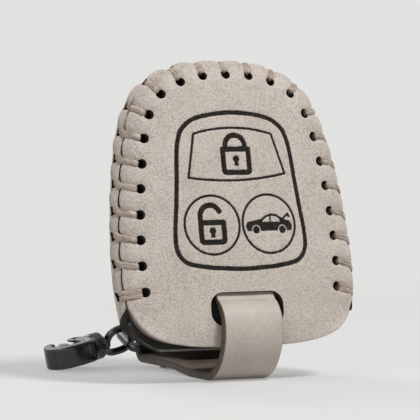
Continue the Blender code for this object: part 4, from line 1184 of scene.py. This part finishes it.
def make_thread():
    points, values = thread_line()
    mesh = bpy.data.meshes.new("lacing_thread")
    edges = [(i, i + 1) for i in range(len(points) - 1)]
    mesh.from_pydata([tuple(p) for p in points], edges, [])
    sides = mesh.attributes.new("flat_side", "FLOAT_VECTOR", "POINT")
    sides.data.foreach_set("vector", values[:, :3].astype(np.float32).ravel())
    thread = new_object("lacing_thread", mesh)
    store(thread, "width", values[:, 3])
    tree, thickness, finish_input = thread_tree()
    modifier = thread.modifiers.new("Sweep", "NODES")
    modifier.node_group = tree
    modifier[thickness] = THREAD_THICKNESS
    modifier[finish_input] = waxed_thread()
    settle(thread).data.shade_smooth()
    dress(thread, LEAN_FRAME, "case", "thread", "seam_thread")


# Strap
def strap_paths():
    """Middle lines of the strap in the world's (y, z), with a thickness at each point."""
    hinge = np.array(JOINTS["strap_swing"]["pos_m"])[1:]
    turn_y, turn_z = JOINTS["ring_tilt"]["pos_m"][1:]
    return_y, return_z = JOINTS["strap_end_open"]["pos_m"][1:]
    root = []
    for share in ROOT_STEP_SHARES:
        z = -SLOT_TOP + ROOT_LENGTH * (1 - share)
        y = middle_depth(z) + FRONT_LEATHER + ROOT_SEAT + ROOT_LEATHER / 2
        spot = LEAN_FRAME @ Vector((0, y, z))
        root.append((spot.y, spot.z, ROOT_LEATHER))
    front = np.array((hinge[0] - STRAP_BULGE, LOOP_HEIGHT + STRAP_HALF))
    drop = hinge[1] - front[1]
    lead_out, lead_down = FRONT_LEG_LEAD_SHARES
    lead = hinge - np.array((STRAP_BULGE * lead_out, drop * lead_down))
    handle = front + np.array((0, drop * FRONT_LEG_HANDLE_SHARE))
    leg = [
        (1 - t) ** 3 * hinge + 3 * (1 - t) ** 2 * t * lead
        + 3 * (1 - t) * t * t * handle + t ** 3 * front
        for t in (k / FRONT_LEG_STEPS for k in range(FRONT_LEG_STEPS + 1))
    ]
    foot = STRAP_FOOT / 2
    power = 2 / LOOP_SQUARENESS
    for angle in (k / BEND_STEPS * math.pi / 2 for k in range(1, BEND_STEPS + 1)):
        out = (-foot - front[0]) * max(0.0, math.cos(angle)) ** power
        leg.append((-foot - out, STRAP_HALF + LOOP_HEIGHT * (1 - math.sin(angle) ** power)))
    leg.append((0.0, STRAP_HALF))
    rise, rise_end = SNAP_CAP_HEIGHT + GAP, foot + LEG_RISE_LENGTH
    for t in (k / RISE_STEPS for k in range(RISE_STEPS + 1)):
        leg.append((foot + LEG_RISE_LENGTH * t, STRAP_HALF + rise * eased(t)))
    leg += [(y, rise + STRAP_HALF) for y in ((rise_end + turn_y) / 2, turn_y)]
    thin = [STRAP_LEATHER * share for share in STRAP_TAPER_SHARES]
    thick = thin + [STRAP_LEATHER] * (len(leg) - len(thin))
    first = root + [(y, z, t) for (y, z), t in zip(leg, thick)]
    fold = arc_points((turn_y, turn_z), return_z - turn_z, -90, 90, 12)
    fold += [(return_y - RETURN_LENGTH * share, return_z) for share in RETURN_STEP_SHARES]
    return np.array(first), np.array([(y, z, STRAP_LEATHER) for y, z in fold])


def section(half_width, thickness, edge):
    """Cross-section of a strip as (x, height) points: flat faces and rubbed corners."""
    flat = [(half_width - edge) * k / 8 for k in range(-8, 9)]
    upper = [(x, thickness / 2) for x in flat]
    over = arc_points((half_width - edge, thickness / 2 - edge), edge, 90, 0, 4)[1:]
    under = arc_points((half_width - edge, edge - thickness / 2), edge, 0, -90, 4)[:-1]
    right = over + [(half_width, 0.0)] + under
    lower = [(-x, -thickness / 2) for x in flat]
    left = [(-x, -h) for x, h in right]
    return np.array(upper + right + lower + left)


def strip(name, path, tip_round):
    """A strip of leather along a path, its edges rubbed and, where asked, its far tip round."""
    flat = np.hstack([np.zeros((len(path), 1)), path[:, :2]])
    dense, rest = resampled(flat, path[:, 2:], 6)
    outer = np.cross(unit(np.gradient(dense, axis=0)), (1, 0, 0))
    lengths = lengths_along(dense)
    rings, leather_side, edge_share = [], [], []
    half = STRAP_WIDTH / 2
    for spot, side, thick, left in zip(dense, outer, rest[:, 0], lengths[-1] - lengths):
        wide = half
        if tip_round and left < half:
            wide = max(half * TIP_SHARE, math.sqrt(max(0.0, half * half - (half - left) ** 2)))
        edge = min(STRAP_CORNER, wide / 2, thick / 3)
        outline = section(wide, thick, edge)
        rings.append(spot + outline[:, :1] * np.array((1, 0, 0)) + outline[:, 1:] * side)
        leather_side.append(outline[:, 1] / thick + 0.5)
        past_start = abs(outline[:, 0]) - wide + edge * CORNER_TONE_START
        edge_share.append(np.clip(past_start / (edge * CORNER_TONE_FADE), 0, 1))
    solid = skin(name, dense[0], rings, dense[-1])
    store(solid, "flesh", [0.5] + [1 - v for v in np.concatenate(leather_side)] + [0.5])
    store(solid, "cut_edge", [1.0] + list(np.concatenate(edge_share)) + [1.0])
    paint(solid, strap_leather())
    return smooth(solid)


def make_straps():
    first, fold = strap_paths()
    leg = strip("strap_leg", first, False)
    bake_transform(leg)
    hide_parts("strap", "strap_root")
    tail = strip("strap_tail", fold, True)
    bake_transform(tail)
    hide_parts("strap_end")


# Metal fittings
def circle_of(sides):
    angles = np.arange(sides) / sides * 2 * math.pi
    return np.stack([np.cos(angles), np.sin(angles)], 1)


def turned(name, profile, sides=64):
    """A solid of revolution about its own Z, from (radius, height) pairs, top to bottom."""
    circle = circle_of(sides)
    rings = [np.hstack([circle * r, np.full((sides, 1), h)]) for r, h in profile if r > 0]
    if profile[0][0] > 0:
        return closed_tube(name, rings)
    return skin(name, (0, 0, profile[0][1]), rings, (0, 0, profile[-1][1]))


def turned_lengthwise(name, profile, sides=64):
    """A solid of revolution about the clasp's own line."""
    solid = turned(name, profile, sides)
    solid.data.transform(Matrix.Rotation(math.pi / 2, 4, "Y"))
    return solid


def swept_wire(name, centres, radius, sides=20):
    """A closed round wire along (x, y) points in its own space."""
    centres = np.hstack([centres, np.zeros((len(centres), 1))])
    tangent = np.roll(centres, -1, axis=0) - np.roll(centres, 1, axis=0)
    side = unit(np.cross(unit(tangent), (0.0, 0.0, 1.0)))
    over = np.cross(side, unit(tangent))
    circle = circle_of(sides)
    return closed_tube(name, [
        c + radius * (circle[:, :1] * s + circle[:, 1:] * o) for c, s, o in zip(centres, side, over)
    ])


SNAP_PARTS = (
    ("snap_cap", "cap_nickel", "strap", (
        (0, 1, 0), (0.20, 1, 0), (0.24, 1, -0.2), (0.24, 0, 1), (0.93, 0, 1), (0.99, 0, 0.85),
        (1, 0, 0.6), (0.97, 0, 0.35), (0.88, 0, 0.12), (0.74, 0, 0), (0, 0, 0),
    )),
    ("snap_socket", "socket_nickel", "strap", (
        (0.50, 1, 0), (0.60, 1, 0), (0.72, 0.92, 0), (0.80, 0.62, 0), (0.96, 0.45, 0),
        (1, 0.25, 0), (1, 0, 0), (0.50, 0, 0),
    )),
    ("snap_stud", "stud_nickel", "strap_end", (
        (0, 1, 0), (0.97, 1, 0), (1, 0.92, 0), (1, 0.74, 0), (0.90, 0.68, 0), (0.30, 0.66, 0),
        (0.38, 0.34, 0), (0.37, 0.12, 0), (0.24, 0, 0), (0, 0, 0),
    )),
    ("snap_post", "post_nickel", "strap_end", (
        (0, 1, 0), (0.45, 0.995, 0), (0.78, 0.95, 0), (0.96, 1, -0.55), (1, 1, -0.85),
        (0.98, 1, -1), (1 / 3, 1, -1), (1 / 3, 0, 0), (0, 0, 0),
    )),
)


def make_snap():
    """Turns the snap's four pieces, each where its CAD solid is.

    A profile gives shares of the piece's radius, of its height and of the cap's thickness.
    """
    for node, name, body, profile in SNAP_PARTS:
        low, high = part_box(node)
        radius, tall = (high.x - low.x) / 2, high.z - low.z
        place = Matrix.Translation(((low.x + high.x) / 2, (low.y + high.y) / 2, low.z))
        spots = [(r * radius, share * tall + rim * SNAP_CAP_HEIGHT) for r, share, rim in profile]
        fitting = turned(name, spots)
        paint(fitting, metal(name, NICKEL, rough=0.22))
        dress(smooth(fitting), place, body, "bright_metal", node)


def make_d_ring():
    low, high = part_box("d_ring")
    arm_x = (high.x - low.x) / 2 - RING_WIRE
    corner = arm_x - RING_CORNER
    arm = [RING_CORNER + (RING_ARM - RING_CORNER) * k / 5 for k in range(1, 5)]
    centres = [(corner * k / 6, 0.0) for k in range(-5, 6)]
    centres += arc_points((corner, RING_CORNER), RING_CORNER, -90, 0, 8)
    centres += [(arm_x, y) for y in arm]
    centres += [(x * arm_x, RING_ARM + y * RING_BOW) for x, y in arc_points((0, 0), 1, 0, 180, 48)]
    centres += [(-arm_x, y) for y in arm[::-1]]
    centres += arc_points((-corner, RING_CORNER), RING_CORNER, 180, 270, 8)
    ring = swept_wire("d_ring_wire", centres, RING_WIRE)
    pos = Vector(JOINTS["ring_tilt"]["pos_m"])
    paint(ring, metal("ring_nickel", DARK_NICKEL, rough=0.16))
    place = Matrix.Translation(pos) @ Matrix.Rotation(RING_TILT, 4, "X")
    dress(smooth(ring), place, "ring", "dark_metal", "d_ring")


def clasp_frame():
    """Matrix of the clasp: its line along X, and the gate's pin along Z."""
    swivel, gate = JOINTS["clasp_swivel"], JOINTS["gate_open"]
    x = Vector(swivel["axis"]).normalized()
    z = Vector(gate["axis"])
    z = (z - x * z.dot(x)).normalized()
    y = z.cross(x)
    matrix = Matrix((x, y, z)).transposed().to_4x4()
    matrix.translation = Vector(swivel["pos_m"])
    return matrix


def superellipse(radius, angle, squareness):
    across, along = math.cos(angle), math.sin(angle)
    reach = (abs(across) ** squareness + abs(along) ** squareness) ** (-1 / squareness)
    return radius * across * reach, radius * along * reach


def make_eye(clasp):
    angles = [2 * math.pi * k / EYE_STEPS for k in range(EYE_STEPS)]
    loop = [superellipse(EYE_RADIUS, angle, EYE_SQUARENESS) for angle in angles]
    eye = swept_wire("clasp_ring", loop, EYE_WIRE)
    start = BARREL_START + BARREL_LIP + GAP
    end = start + NECK_HEAD_LENGTH
    slim, tall = NECK_HEAD_SHARES
    neck = [
        (0, end), (NECK_HEAD_RADIUS * slim, end),
        (NECK_HEAD_RADIUS, start + NECK_HEAD_LENGTH * tall),
        (NECK_HEAD_RADIUS, start), (NECK_RADIUS, start),
    ]
    neck += [(NECK_RADIUS * wide, EYE_RADIUS + EYE_WIRE * high) for wide, high in NECK_ROOT_SHARES]
    combine(eye, "UNION", [turned_lengthwise("neck", neck, 40)])
    paint(eye, metal("eye_nickel", DARK_NICKEL, rough=0.14))
    rolled = clasp @ Matrix.Rotation(EYE_ROLL, 4, "X")
    dress(smooth(eye), rolled, "eye", "dark_metal", "clasp_eye")


def plate(name, spots, thickness):
    """A flat piece across the clasp's pin, with a smooth outline."""
    piece = prism(name, spline_through(spots, 6), -thickness / 2, thickness / 2)
    piece.data.transform(Matrix.Rotation(-math.pi / 2, 4, "X"))
    return piece


def clasp_spots(shares):
    """(x, y) points from shares of the hook's length and half width."""
    return [(HOOK_START + x * HOOK_LENGTH, y * HOOK_HALF_WIDTH) for x, y in shares]


def recast(obj, steps=0, swell=0.0):
    """Makes one even skin of a solid, polished in so many steps and plated out again."""
    skin_over = obj.modifiers.new("Cast", "REMESH")
    skin_over.mode = "VOXEL"
    skin_over.voxel_size = CAST_GRAIN * 1
    wheel = obj.modifiers.new("Polish", "SMOOTH")
    wheel.factor = 0.5
    wheel.iterations = steps // 1
    plating = obj.modifiers.new("Plating", "DISPLACE")
    plating.mid_level = 0.0
    plating.strength = swell
    return settle(obj)


def pivot_cutter(radius, low, high):
    """A cylinder on the gate's pivot, along the pin."""
    centre = (*GATE_PIVOT, (low + high) / 2)
    return round_cutters("bore", [(centre, (0, 0, 1))], radius, high - low, 32)


def finish_casting(casting, polish, finish, clasp, body, node):
    recast(casting, *polish).data.shade_smooth()
    paint(casting, finish)
    dress(casting, clasp, body, "dark_metal", node)


def make_hook(clasp):
    """C-shaped body of the clasp, with the barrel its swivel turns in and a clevis for the gate."""
    hook = plate("hook_casting", clasp_spots(HOOK_SHARES), HOOK_THICKNESS)
    start, end, worn = BARREL_START, BARREL_START + BARREL_LENGTH, HOOK_EDGE / 2
    profile = [
        (0, end), (BARREL_RADIUS - worn, end), (BARREL_RADIUS, end - worn),
        (BARREL_RADIUS, start + worn), (BARREL_RADIUS - worn / 2, start + worn / 4),
        (BARREL_RADIUS - worn, start), (0, start),
    ]
    barrel = turned_lengthwise("barrel", profile)
    change_mesh(hook.data, lambda soup: soup.from_mesh(barrel.data))
    bpy.data.objects.remove(barrel)
    recast(hook)
    inner = start + BARREL_LIP
    far = inner + NECK_HEAD_LENGTH + 2 * GAP
    cavity = [
        (0, far), (NECK_HEAD_RADIUS + GAP, far), (NECK_HEAD_RADIUS + GAP, inner),
        (NECK_RADIUS + GAP, inner), (NECK_RADIUS + GAP, start - HOOK_EDGE), (0, start - HOOK_EDGE),
    ]
    room = GATE_EYE_RADIUS + CLEVIS_CLEARANCE
    half = GATE_THICKNESS / 2 + CLEVIS_CLEARANCE
    x, y = GATE_PIVOT
    corners = [(x - room, -half), (x + room, -half), (x + room, half), (x - room, half)]
    cut(
        hook, turned_lengthwise("cavity", cavity), prism("clevis", corners, y - room, y + room),
        pivot_cutter(PIN_HOLE_RADIUS, -HOOK_THICKNESS, HOOK_THICKNESS),
    )
    finish = metal("hook_nickel", DARK_NICKEL, rough=0.12)
    finish_casting(hook, HOOK_POLISH, finish, clasp, "hook", "hook_body")


def make_gate(clasp):
    """Sprung gate with its thumb pad, and an eye round the pin."""
    spots = clasp_spots(GATE_SHARES) + arc_points(GATE_PIVOT, GATE_EYE_RADIUS, 45, 315, 10)
    gate = recast(plate("gate_casting", spots, GATE_THICKNESS))
    cut(
        gate, pivot_cutter(GATE_EYE_RADIUS + GAP, 0.0, GATE_THICKNESS),
        pivot_cutter(PIN_HOLE_RADIUS, -HOOK_THICKNESS, HOOK_THICKNESS),
    )
    finish = metal("gate_nickel", DARK_NICKEL, rough=0.16)
    finish_casting(gate, GATE_POLISH, finish, clasp, "gate", "hook_gate")


# Dressing
def dress(piece, matrix, body, slot, *nodes):
    """Sets a finished piece in the world, on its body, in the place of its CAD nodes."""
    piece.data.transform(matrix)
    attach(piece, body)
    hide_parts(*nodes)


# Finishes
class Finish:
    """A material in the making, with short ways to add and join its nodes."""

    def __init__(self, name, roughness, specular=0.5, metallic=0.0):
        self.mat = bpy.data.materials.new(name)
        self.mat.use_nodes = True
        self.tree = self.mat.node_tree
        self.shader = self.tree.nodes["Principled BSDF"]
        self.shader.inputs["Roughness"].default_value = roughness
        self.shader.inputs["Specular IOR Level"].default_value = specular
        self.shader.inputs["Metallic"].default_value = metallic
        self.place = self.node("TexCoord", "Object")

    def node(self, kind, output, inputs=None, **settings):
        return add_node(self.tree, "ShaderNode" + kind, inputs, **settings).outputs[output]

    def stretch_depth(self, share):
        """Draws the grain out along Y, so that a plate across Y cuts every pebble at its middle."""
        inputs = {0: self.place, 1: (1, share, 1)}
        self.place = self.node("VectorMath", "Vector", inputs, operation="MULTIPLY")

    def noise(self, scale, detail=3.0, rough=0.55, place=None):
        return self.node("TexNoise", "Fac", {
            "Scale": scale, "Detail": detail, "Roughness": rough, "Vector": place or self.place,
        })

    def cells(self, scale):
        inputs = {"Scale": scale, "Randomness": 0.8, "Vector": self.place}
        return self.node("TexVoronoi", "Distance", inputs, feature="F1")

    def ramp(self, value, low, high, out_low=0.0, out_high=1.0):
        return self.node("MapRange", "Result", {
            "Value": value, "From Min": low, "From Max": high,
            "To Min": out_low, "To Max": out_high,
        })

    def math(self, a, b, operation="MULTIPLY"):
        return self.node("Math", "Value", {0: a, 1: b}, operation=operation)

    def mix(self, share, a, b):
        a, b = ((*tone, 1) if isinstance(tone, tuple) else tone for tone in (a, b))
        return self.node("Mix", 2, {0: share, 6: a, 7: b}, data_type="RGBA")

    def stored(self, name):
        return self.node("Attribute", "Fac", attribute_name=name)

    def bump(self, height, distance, under=None):
        inputs = {"Height": height, "Distance": distance, "Strength": 1.0}
        if under:
            inputs["Normal"] = under
        return self.node("Bump", "Normal", inputs)

    def done(self, colour, rough=None, normal=None):
        for name, source in (("Base Color", colour), ("Roughness", rough), ("Normal", normal)):
            if source:
                self.tree.links.new(source, self.shader.inputs[name])
        return self.mat


def grain(finish, scale):
    """Bumps of fine leather grain, with the share of its pores and of its creases."""
    pebbles = finish.cells(scale)
    pores = finish.noise(scale * PORE_SHARE, detail=2.0)
    creases = finish.noise(scale * CREASE_SHARE, detail=4.0)
    border = finish.ramp(pebbles, 0.34, 0.72)
    normal = finish.bump(finish.ramp(creases, 0.35, 0.65), PEBBLE_HEIGHT / 2)
    normal = finish.bump(finish.ramp(pebbles, 0.15, 0.70, 1.0, 0.0), PEBBLE_HEIGHT, normal)
    return finish.bump(pores, PORE_HEIGHT, normal), pores, border


def leather(name, burnt):
    """Pebbled, rubbed leather. The front's has its burnt lines and its cut edge too."""
    finish = Finish(name, roughness=0.5, specular=0.35)
    if burnt:
        finish.stretch_depth(FRONT_GRAIN_DEPTH)
    normal, pores, border = grain(finish, CASE_GRAIN)
    broad = finish.ramp(finish.noise(95), 0.35, 0.65)
    colour = finish.mix(broad, LEATHER_MID, LEATHER_LIGHT)
    mottle = finish.ramp(finish.noise(240), 0.45, 0.75, 0.0, 0.30)
    colour = finish.mix(mottle, colour, LEATHER_DARK)
    seam = finish.math(border, finish.ramp(finish.noise(1100, detail=2.0), 0.3, 0.7, 0.40, 0.75))
    colour = finish.mix(seam, colour, LEATHER_CREASE)
    speck = finish.ramp(pores, 0.60, 0.76, 0.0, 0.4)
    colour = finish.mix(speck, colour, LEATHER_PORE)
    rough = finish.ramp(finish.noise(420), 0.3, 0.7, 0.46, 0.62)
    if burnt:
        fibres = finish.noise(2600, detail=4.0, rough=0.7)
        raw = finish.mix(fibres, EDGE_DARK, EDGE_LIGHT)
        colour = finish.mix(finish.stored("cut_edge"), colour, raw)
        mask = finish.stored("burnt")
        ragged = finish.math(mask, finish.ramp(finish.noise(2300), 0.3, 0.7, -0.22, 0.22), "ADD")
        colour = finish.mix(finish.ramp(ragged, 0.32, 0.62), colour, BURNT)
        rough = finish.math(rough, finish.math(mask, 0.30), "ADD")
    return finish.done(colour, rough, normal)


def burnt_leather():
    """Charred leather, matt and dark, with a little ash."""
    finish = Finish("burnt_leather", roughness=0.92, specular=0.12)
    ash = finish.ramp(finish.noise(1900, detail=4.0, rough=0.7), 0.46, 0.70)
    char = finish.bump(finish.noise(3200), FIBRE_HEIGHT)
    return finish.done(finish.mix(ash, BURNT, BURNT_ASH), None, char)


def cut_leather(name, tone):
    """Raw fibres of a cut edge."""
    finish = Finish(name, roughness=0.85, specular=0.2)
    fibres = finish.noise(3000, detail=5.0, rough=0.75)
    light = tuple(CUT_FIBRE_TONE * c for c in tone)
    colour = finish.mix(finish.ramp(fibres, 0.35, 0.75), tone, light)
    return finish.done(colour, None, finish.bump(fibres, FIBRE_HEIGHT))


def strap_leather():
    """Grain outside, flesh inside and a rubbed brown edge, by the strip's own sides."""
    finish = Finish("strap_grain", roughness=0.46, specular=0.40)
    normal, _, border = grain(finish, STRAP_GRAIN)
    broad = finish.ramp(finish.noise(140), 0.35, 0.65)
    colour = finish.mix(broad, STRAP_DEEP, LEATHER_MID)
    colour = finish.mix(finish.math(border, 0.45), colour, LEATHER_DARK)
    flesh = finish.ramp(finish.stored("flesh"), 0.55, 0.8)
    fibres = finish.noise(2400, detail=5.0, rough=0.7)
    strands = finish.ramp(fibres, 0.3, 0.7)
    colour = finish.mix(flesh, colour, finish.mix(strands, FLESH_DARK, FLESH))
    rubbed = finish.mix(strands, EDGE_DARK, EDGE_LIGHT)
    colour = finish.mix(finish.stored("cut_edge"), colour, rubbed)
    rough = finish.ramp(finish.noise(420), 0.3, 0.7, 0.38, 0.55)
    rough = finish.math(rough, finish.math(flesh, 0.3), "ADD")
    return finish.done(colour, rough, finish.bump(finish.math(fibres, flesh), FLESH_HEIGHT, normal))


def suede(name):
    finish = Finish(name, roughness=0.95)
    finish.shader.inputs["Sheen Weight"].default_value = 0.25
    nap = finish.noise(2800, detail=5.0, rough=0.7)
    # The lining's near-black tone is partly painted shade for the dark inside of the case
    colour = finish.mix(finish.ramp(nap, 0.3, 0.7), SUEDE_AND_PAINTED_SHADE, tuple(2 * c for c in SUEDE_AND_PAINTED_SHADE))
    return finish.done(colour, None, finish.bump(nap, NAP_HEIGHT))


def waxed_thread():
    """Fibres along the thread, from the length and side stored on its mesh."""
    finish = Finish("waxed_thread", roughness=0.42)
    along = finish.math(finish.stored("along"), 320.0)
    around = finish.math(finish.stored("around"), 16.0)
    spot = finish.node("CombineXYZ", "Vector", {"X": along, "Y": around})
    fibres = finish.noise(1.0, detail=3.0, rough=0.6, place=spot)
    colour = finish.mix(finish.ramp(fibres, 0.34, 0.60), THREAD_DARK, THREAD_LIGHT)
    stain = finish.ramp(finish.noise(650), 0.5, 0.75, 0.0, 0.5)
    colour = finish.mix(stain, colour, THREAD_DARK)
    return finish.done(colour, None, finish.bump(fibres, FIBRE_HEIGHT))


def metal(name, tone, rough):
    finish = Finish(name, rough, metallic=1.0)
    wear = finish.noise(1300, detail=4.0, rough=0.65)
    worn = tuple(c * WORN_METAL_TONE for c in tone)
    colour = finish.mix(finish.ramp(wear, 0.4, 0.75), tone, worn)
    roughness = finish.ramp(finish.noise(2600), 0.35, 0.75, rough, rough + 0.16)
    return finish.done(colour, roughness, finish.bump(wear, CASTING_HEIGHT))


# Stage
def backdrop_share(tree):
    """1 where the camera, a mirror or a clear surface looks, so that these see the backdrop."""
    path = tree.nodes.new("ShaderNodeLightPath").outputs
    either = path["Is Camera Ray"]
    for name in ("Is Glossy Ray", "Is Transmission Ray"):
        either = add_node(tree, "ShaderNodeMath", {0: either, 1: path[name]}, operation="MAXIMUM")
        either = either.outputs["Value"]
    return either


def show_backdrop(tree, share, near, far, output):
    """Mixes one shader into the backdrop's, by a share."""
    choose = add_node(tree, "ShaderNodeMixShader", {"Fac": share, 1: near, 2: far})
    tree.links.new(choose.outputs["Shader"], tree.nodes[output].inputs["Surface"])


def make_stage():
    mesh = bpy.data.meshes.new("floor")
    change_mesh(
        mesh, lambda soup: bmesh.ops.create_grid(soup, x_segments=1, y_segments=1, size=FLOOR_SIZE)
    )
    floor = new_object("floor", mesh)
    floor.location = (0, 0, -FLOOR_DROP)
    finish = Finish("pale_floor", roughness=0.7, specular=0.2)
    finish.shader.inputs["Base Color"].default_value = (*FLOOR_TONE, 1)
    fade_floor(finish)
    paint(floor, finish.mat)


def fade_floor(finish):
    """Lets the floor run into the backdrop away from the case, so that no horizon shows."""
    reach = finish.node("VectorMath", "Value", {0: finish.place}, operation="LENGTH")
    fade = finish.node("MapRange", "Result", {
        "Value": reach, "From Min": FLOOR_FADE[0], "From Max": FLOOR_FADE[1],
        "To Min": FLOOR_NEAR_SHARE,
    }, interpolation_type="SMOOTHSTEP")
    share = finish.math(fade, backdrop_share(finish.tree))
    far = finish.node("Emission", "Emission", {"Color": (*BACKDROP, 1)})
    show_backdrop(finish.tree, share, finish.shader.outputs["BSDF"], far, "Material Output")


def make_world():
    world = bpy.data.worlds.new("soft_room")
    bpy.context.scene.world = world
    world.use_nodes = True
    tree = world.node_tree
    room = tree.nodes["Background"]
    room.inputs["Color"].default_value = ROOM_TONE
    room.inputs["Strength"].default_value = ROOM_STRENGTH
    seen = add_node(tree, "ShaderNodeBackground", {"Color": (*BACKDROP, 1), "Strength": 1.0})
    show_backdrop(
        tree, backdrop_share(tree), room.outputs["Background"], seen.outputs["Background"],
        "World Output",
    )


def make_lamps():
    for name, place, size, power in LAMPS:
        lamp = bpy.data.lights.new(name, "AREA")
        lamp.shape = "DISK"
        lamp.size = size
        lamp.energy = power
        obj = new_object(name, lamp)
        obj.location = place
        aim = Vector((0, 0, CASE_HEIGHT)) - Vector(place)
        obj.rotation_euler = aim.to_track_quat("-Z", "Y").to_euler()


def make_camera():
    data = bpy.data.cameras.new("camera")
    data.sensor_width = 36.0
    data.lens = CAMERA_LENS
    data.clip_start = 0.01
    camera = new_object("camera", data)
    camera.location = CAMERA_PLACE
    camera.rotation_euler = [math.radians(a) for a in CAMERA_TURN]
    bpy.context.scene.camera = camera


def main():
    make_camera()
    make_world()
    make_lamps()
    make_stage()
    make_front()
    make_shell()
    make_linings()
    make_thread()
    make_straps()
    make_snap()
    make_d_ring()
    clasp = clasp_frame()
    make_eye(clasp)
    make_hook(clasp)
    make_gate(clasp)
    paint(frame["nodes"]["gate_pin"], metal("pin_nickel", NICKEL, rough=0.25))
    paint(frame["nodes"]["gate_spring"], metal("spring_steel", NICKEL, rough=0.30))
    bpy.context.scene.view_settings.view_transform = "Standard"


main()
